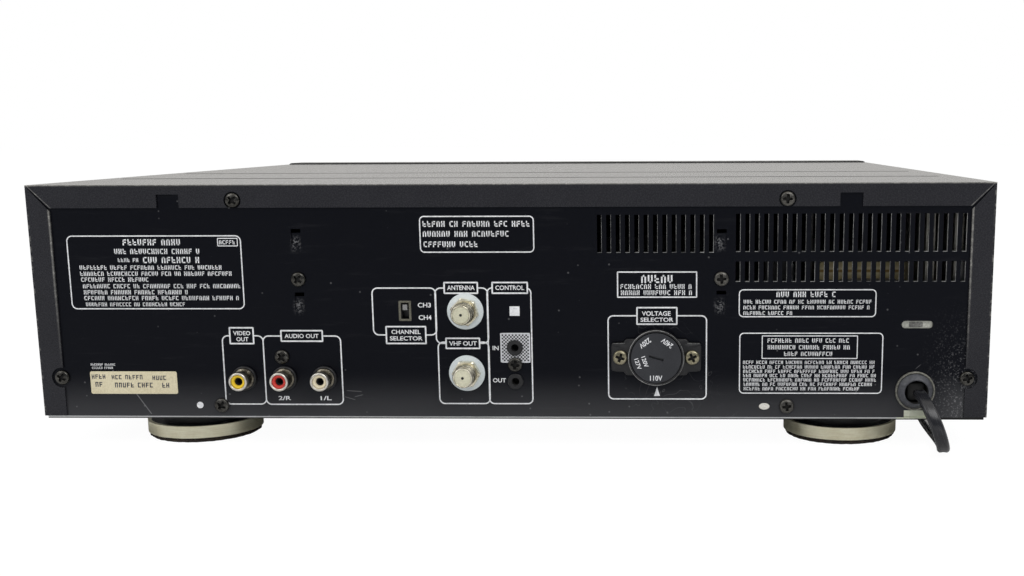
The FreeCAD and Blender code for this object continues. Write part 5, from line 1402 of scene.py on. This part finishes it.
def cordGland(k):
    # a thin flat rim and a cone standing up from it to a hole a little lower than the middle
    turn, slot = fullTurn(k["steps"]), "moulding_black"
    cx, cz = k["middle"]
    hx, hz = k["hole"]
    rim = turned("gland_rim", k["rim"], [panelPoint(cx, cz)], k["steps"], "glandGrey", slot)
    rows = [(cx + hx * share, cz + hz * share, r, out) for r, share, out in k["cone"]]
    rows = [roundPanel(*row, turn) for row in rows]
    cone = newPiece("gland_cone", *capped(rows), "coneGrey", slot)
    # painted shade: the cone's faces inside the hole take the near-black finish
    cone.data.materials.append(looks["deepBlack"])
    hx, hz = cx + hx, cz + hz
    x, y, z = np.array([f.center[:] for f in cone.data.polygons]).T
    radius, height = k["dark"]
    near = np.hypot(x + hx * mm, z - panBottom - hz * mm) < radius * mm
    dark = near & (y < panelY + height * mm)
    cone.data.polygons.foreach_set("material_index", dark.astype(int))
    # the block's outline is a squared circle: the sixth powers of its two shares add up to 1
    wide, high = k["block"]
    ring = ((np.abs(np.cos(turn)) / wide) ** 6 + (np.abs(np.sin(turn)) / high) ** 6) ** (-1 / 6)
    rows = [roundPanel(hx, hz, r * ring, out, turn) for r, out in k["levels"]]
    # painted shade: the relief block in the recess is near-black
    block = newPiece("relief_block", *capped(rows), "deepBlack", slot)
    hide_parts("cord_gland")
    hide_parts("cord_relief")


cordGland(gland)

selector = {
    "middle": (64.8, 28.2),
    "radius": 12.3,
    "ear": (19.7, 6.5),
    "flare": (1.6, 10.4, 3.8),
    "base": 2.2,
    "rim": 4.2,
    "well": 11.2,
    "steps": 160,
    "line": (0.7, 1.4, 0.42, 0.24, 0.1),  # the painted highlight along each ear: ends, edges and thickness
}


def selectorBody(k):
    # the outline is the ring or, where it reaches further, an ear whose edges widen toward the ring
    turn = fullTurn(k["steps"])
    c, s = np.maximum(np.abs(np.cos(turn)), 1e-4), np.maximum(np.abs(np.sin(turn)), 1e-4)
    reach, half = k["ear"]
    more, start, run = k["flare"]
    tall = half + more * np.clip(1 - (half * c / s - start) / run, 0, 1)
    base, rim, well, radius = k["base"], k["rim"], k["well"], k["radius"]
    outline = np.maximum(radius, ((c / reach) ** 16 + (s / tall) ** 16) ** (-1 / 16))
    rows = [
        (outline, 0.0),
        (outline, base - 0.5),
        (outline - 0.15, base - 0.12),
        (outline - 0.45, base),
        (np.minimum(outline - 0.45, radius + 0.15), base),
        (radius, base + 0.2),
        (radius, rim - 0.3),
        (radius - 0.2, rim),
        (radius - 0.75, rim),
        (well + 0.05, rim - 0.25),
        (well, rim - 0.6),
        (well, 0.9),
        (well - 0.4, 0.7),
        (4.0, 0.7),
    ]
    cx, cz = k["middle"]
    rows = [roundPanel(cx, cz, r, h, turn) for r, h in rows]
    made = newPiece("selector_body", *capped(rows), "mouldedBlack", "moulding_black")
    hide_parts("voltage_selector")
    # rubbed paint and painted highlight: a light ring along the rim's top edge, and a light line
    # along each ear
    wearAndHighlight = [(-0.35, -0.1), (-0.02, -0.22), (0.03, -0.1), (-0.3, 0.04)]
    wearAndHighlight = [(radius + r, rim + a) for r, a in wearAndHighlight]
    turned("selector_edge", wearAndHighlight, [panelPoint(cx, cz)], 96, "edgeWorn", "moulding_black")
    end, start, low, high, thick = k["line"]
    ears = [(reach - end, radius + start), (-radius - start, end - reach)]
    ears = [(cx - a, cz + half - low, cx - b, cz + half - high) for a, b in ears]
    marks = bars(ears, thick, base - 0.06)
    newPiece("ear_edges", *marks, "edgeWorn", "moulding_black", smooth=False)


selectorBody(selector)

vents = {
    "pitch": 4.04,
    "half": 1.0,
    "rows": [  # first slot, count, foot and head
        (100.27, 25, 74.2, 90.6),
        (100.27, 25, 61.2, 70.0),
        (40.24, 13, 73.9, 90.3),
    ],
    "line": 0.15,
    "deep": 0.8,
}


def ventEdges(k):
    # a light line down one side and along the foot of each slot: a painted highlight where light
    # catches the sheet's cut edge
    boxes = []
    half, line, deep = k["half"], k["line"], k["deep"]
    for first, count, low, high in k["rows"]:
        for x in first + np.arange(count) * k["pitch"]:
            boxes.append((x + half - line, low, x + half, high))
            boxes.append((x - half + line, low, x + half - line, low + line * 1.5))
    edges = bars(boxes, deep, -0.98 * deep)
    newPiece("vent_edges", *edges, "edgeWorn", "panel_black", smooth=False)


ventEdges(vents)

behind = {
    "clip": (171.9, 40.2, 185.2, 44.4, 1.4),
    "clipOut": (-3.2, -1.1),
    "clipBar": (175.0, 41.1, 181.0, 43.5, 0.5),
    "clipBarOut": (-1.3, -1.02),
    "fins": {
        "first": 176.5,
        "pitch": 3.1,
        "count": 8,
        "low": 46.0,
        "high": 92.0,
        "near": -9.0,
        "far": -30.0,
        "thick": 0.8,
        "lean": 0.5,
    },
    "rivet": (112.45, 5.85, 2.35, 1.45),
    "rivetRings": [  # share of the width, and distance out
        (1.0, -0.8),
        (1.0, 0.15),
        (0.9, 0.35),
        (0.62, 0.4),
        (0.52, 0.18),
        (0.4, 0.32),
        (0.12, 0.42),
    ],
}


def behindPanel(k):
    # a pale clip behind the short slot, thin upright fins behind the last vents, and a snap rivet
    clip = plate(roundedFrame(*k["clip"]), *k["clipOut"])
    newPiece("slot_clip", *clip, "clipPale", "galvanised_steel", smooth=False)
    bar = plate(roundedFrame(*k["clipBar"]), *k["clipBarOut"])
    newPiece("clip_bar", *bar, "clipShade", "galvanised_steel", smooth=False)
    f = k["fins"]
    fins = []
    for index in range(f["count"]):
        x, lean = f["first"] + index * f["pitch"], f["lean"] * math.sin(index * 2.1)
        xs = [x, x + f["thick"], x + f["thick"] + lean, x + lean]
        outs = [f["near"], f["near"], f["far"], f["far"]]
        heights = (f["low"] + index % 3, f["high"])
        fins.append(capped([onPanel(xs, h, outs) for h in heights]))
    newPiece("vent_fins", *merged(fins), "finPale", "sink_aluminium", smooth=False)
    x, z, wide, high = k["rivet"]
    turn = fullTurn(48)
    rows = []
    for share, out in k["rivetRings"]:
        rows.append(onPanel(x + np.cos(turn) * wide * share, z + np.sin(turn) * high * share, out))
    newPiece("snap_rivet", *capped(rows), "nylonWhite", "nylon_white")


behindPanel(behind)

pads = {
    "across": 150.0,
    "ends": (-159.3, 160.7),
    "radius": 25.0,
    "bore": 5.0,
    "rough": 0.4,
    "steps": 144,
    "levels": [(0.0, 0.0), (0.97, 0.0), (1.0, 0.25), (1.0, 0.8), (0.96, 1.0), (0.0, 1.0)],
}


def feltPads(k):
    # flat rings with a frayed edge: the outer radius takes sine waves of unlike count round the pad
    steps, parts = k["steps"], []
    turn = fullTurn(steps)
    base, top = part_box("foot_pads")[0][2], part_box("foot_pads")[1][2]
    for index in range(4):
        x, y = k["across"] * (-1) ** index, k["ends"][index // 2]
        fray = np.sin(turn * 23 + index) * np.sin(turn * 7 + 2 * index)
        fray += 0.6 * np.sin(turn * 41 + 3 * index)
        rows = []
        for share, level in k["levels"]:
            outer = (k["radius"] + k["rough"] * fray * (0.5 + level / 2)) * share
            ring = round2d(x, y, np.maximum(outer, k["bore"]), turn) * mm
            rows.append(np.insert(ring, 2, base + (top - base) * level, 1))
        faces = gridFaces(len(rows), steps) + lastToFirst(len(rows), steps)
        parts.append((np.concatenate(rows), faces))
    made = newPiece("felt_pads", *merged(parts), "feltBrown", "foot_felt")
    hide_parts("foot_pads")


feltPads(pads)

gapShade = {"across": 170.0, "levels": (57.05, 57.42), "depth": (-203.6, -200.4)}


def doorGapShade(k):
    # a thin dark strip of painted shade on the sill below the tray door, which closes the gap to
    # daylight
    near, far = k["depth"]
    xs = np.array([-1, 1, 1, -1]) * k["across"] * mm
    ys = np.array([near, near, far, far]) * mm
    rings = [np.stack([xs, ys, np.full(4, panBottom + h * mm)], 1) for h in k["levels"]]
    newPiece("door_gap_shade", *capped(rings), "feltBrown", "fascia_black", smooth=False)


doorGapShade(gapShade)
print("rear pieces made")


symbols = {  # outlines about each key's middle, in shares of the symbol's height
    "play_button": [[(-0.42, -0.5), (0.5, 0.0), (-0.42, 0.5)]],
    "pause_button": [
        [(-0.4, -0.5), (-0.12, -0.5), (-0.12, 0.5), (-0.4, 0.5)],
        [(0.12, -0.5), (0.4, -0.5), (0.4, 0.5), (0.12, 0.5)],
    ],
    "stop_button": [[(-0.45, -0.45), (0.45, -0.45), (0.45, 0.45), (-0.45, 0.45)]],
    "skip_back_button": [
        [(-0.9, -0.5), (-0.74, -0.5), (-0.74, 0.5), (-0.9, 0.5)],
        [(0.0, -0.5), (0.0, 0.5), (-0.72, 0.0)],
        [(0.74, -0.5), (0.74, 0.5), (0.02, 0.0)],
    ],
    "skip_forward_button": [
        [(0.74, -0.5), (0.9, -0.5), (0.9, 0.5), (0.74, 0.5)],
        [(0.0, -0.5), (0.72, 0.0), (0.0, 0.5)],
        [(-0.74, -0.5), (-0.02, 0.0), (-0.74, 0.5)],
    ],
    "open_close_button": [
        [(-0.55, -0.12), (0.55, -0.12), (0.0, 0.5)],
        [(-0.55, -0.42), (0.55, -0.42), (0.55, -0.24), (-0.55, -0.24)],
    ],
    "power_button": [[(-0.07, 0.05), (0.07, 0.05), (0.07, 0.6), (-0.07, 0.6)]],
}
symbolSize = {
    "height": 3.4,
    "large": 6.0,  # of the play key
    "thick": 0.05,
    "sunk": 0.02,
    "ring": (0.33, 0.47, 0.6, 0.1),  # of the power key: radii, half the gap's angle, and lift
}


def keySymbols(k, size):
    # each outline drawn out of the key's face by a hair; the power ring is open at the top
    for name, outlines in k.items():
        low, high = [np.array(corner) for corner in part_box(name)]
        tall = size["large" if name == "play_button" else "height"] * mm
        x, y, z = (low + high) / 2
        face = np.array([x, low[1], z])
        shapes = [np.array(outline) for outline in outlines]
        if name == "power_button":
            inner, outer, gap, lift = size["ring"]
            turn = np.linspace(math.pi / 2 + gap, math.pi * 2.5 - gap, 28)
            arc = np.stack([np.cos(turn), np.sin(turn)], 1)
            ring = np.concatenate([arc * outer, arc[::-1] * inner])
            shapes.append(ring + np.array([0.0, lift]))
        parts = []
        for shape in shapes:
            flat = np.insert(shape, 1, 0.0, 1) * tall + face
            outs = (size["sunk"], -size["thick"])
            parts.append(capped([flat + np.array([0.0, out * mm, 0.0]) for out in outs]))
        newPiece(name + "_symbol", *merged(parts), "printWhite", "panel_black", name, False)


keySymbols(symbols, symbolSize)

trim = {"across": 171.0, "levels": (60.4, 60.9), "outs": (0.02, -0.06)}


def doorTrim(k):
    # a fine pale line along the foot of the tray door
    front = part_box("tray_door")[0][1]
    low, high = k["levels"]
    xs = np.array([-1, 1, 1, -1]) * k["across"] * mm
    zs = panBottom + np.array([low, low, high, high]) * mm
    rows = [np.stack([xs, np.full(4, front + out * mm), zs], 1) for out in k["outs"]]
    newPiece("door_trim", *capped(rows), "champagneNickel", "nickel", "tray_door", False)


doorTrim(trim)
print("front pieces made")


# floor and light
studio = {
    "floorSize": 24.0,
    "floorTones": (grey(0.82), grey(0.85)),
    "seenWhite": 0.9,
    "floorGlow": 1.07,
    "worldTone": grey(0.52),
    "frontTone": tone(1.0, 0.98, 0.94),  # shiny faces mirror this in front, and the next behind
    "rearTone": tone(0.13, 0.137, 0.155),
    "rearDepth": (-0.25, 0.35),
    "rearHeight": (0.35, 0.9),
    "lamps": (  # place, aim, width, height, watts
        ((-0.9, 1.5, 1.5), (0.0, 0.1, 0.05), 1.4, 1.0, 14.0),
        ((1.1, 1.1, 1.0), (0.0, 0.1, 0.05), 1.0, 0.8, 5.5),
        ((0.0, -1.2, 1.5), (0.0, 0.0, 0.05), 1.6, 1.0, 12.0),
    ),
}


def addFloor(k):
    half = k["floorSize"] / 2
    mesh = bpy.data.meshes.new("floor")
    corners = [(-half, -half, 0), (half, -half, 0), (half, half, 0), (-half, half, 0)]
    mesh.from_pydata(corners, [], [(0, 1, 2, 3)])
    made = bpy.data.materials.new("floorPale")
    made.use_nodes = True
    tree = made.node_tree
    tree.nodes.clear()
    start = Flow(tree)
    tint = start.where().noise(3.0).blend(*k["floorTones"])
    matt = start.node("BsdfDiffuse", {"Color": tint})
    glow = start.node("Emission", {"Color": grey(1.0), "Strength": k["floorGlow"]})
    seen = start.node("LightPath")
    shown = start.node("MixShader", {0: seen * k["seenWhite"], 1: matt, 2: glow})
    out = tree.nodes.new("ShaderNodeOutputMaterial")
    tree.links.new(shown.out, out.inputs["Surface"])
    mesh.materials.append(made)
    floor = linked("floor", mesh)
    floor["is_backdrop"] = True


def addLight(k):
    for place, aim, width, height, watts in k["lamps"]:
        lamp = bpy.data.lights.new("softbox", "AREA")
        lamp.shape, lamp.size, lamp.size_y, lamp.energy = "RECTANGLE", width, height, watts
        turn = (Vector(aim) - Vector(place)).to_track_quat("-Z", "Y")
        holder = linked("softbox", lamp)
        holder.matrix_world = Matrix.Translation(place) @ turn.to_matrix().to_4x4()
    world = bpy.data.worlds.new("studio")
    world.use_nodes = True
    bpy.context.scene.world = world
    tree = world.node_tree
    start = Flow(tree)
    rays = start.node("LightPath").out.node.outputs
    names = ("Is Camera Ray", "Is Transmission Ray", "Is Glossy Ray")
    seen, through, glossy = [Flow(tree, rays[name]) for name in names]
    x, depth, height = start.node("TexCoord").axes()
    toRear = depth.ramp(*k["rearDepth"]) * (1 - height.ramp(*k["rearHeight"]))
    mirrored = toRear.blend(k["frontTone"], k["rearTone"])
    light = glossy.blend(k["worldTone"], mirrored)
    shown = (seen + through).low(1.0).blend(light, grey(1.0))
    tree.links.new(shown.out, tree.nodes["Background"].inputs["Color"])


addFloor(studio)
addLight(studio)
bpy.context.scene.view_settings.view_transform = "Standard"
print("stage lit")

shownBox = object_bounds()
{"cad": [list(corner) for corner in cadBox], "shown": [list(corner) for corner in shownBox]}
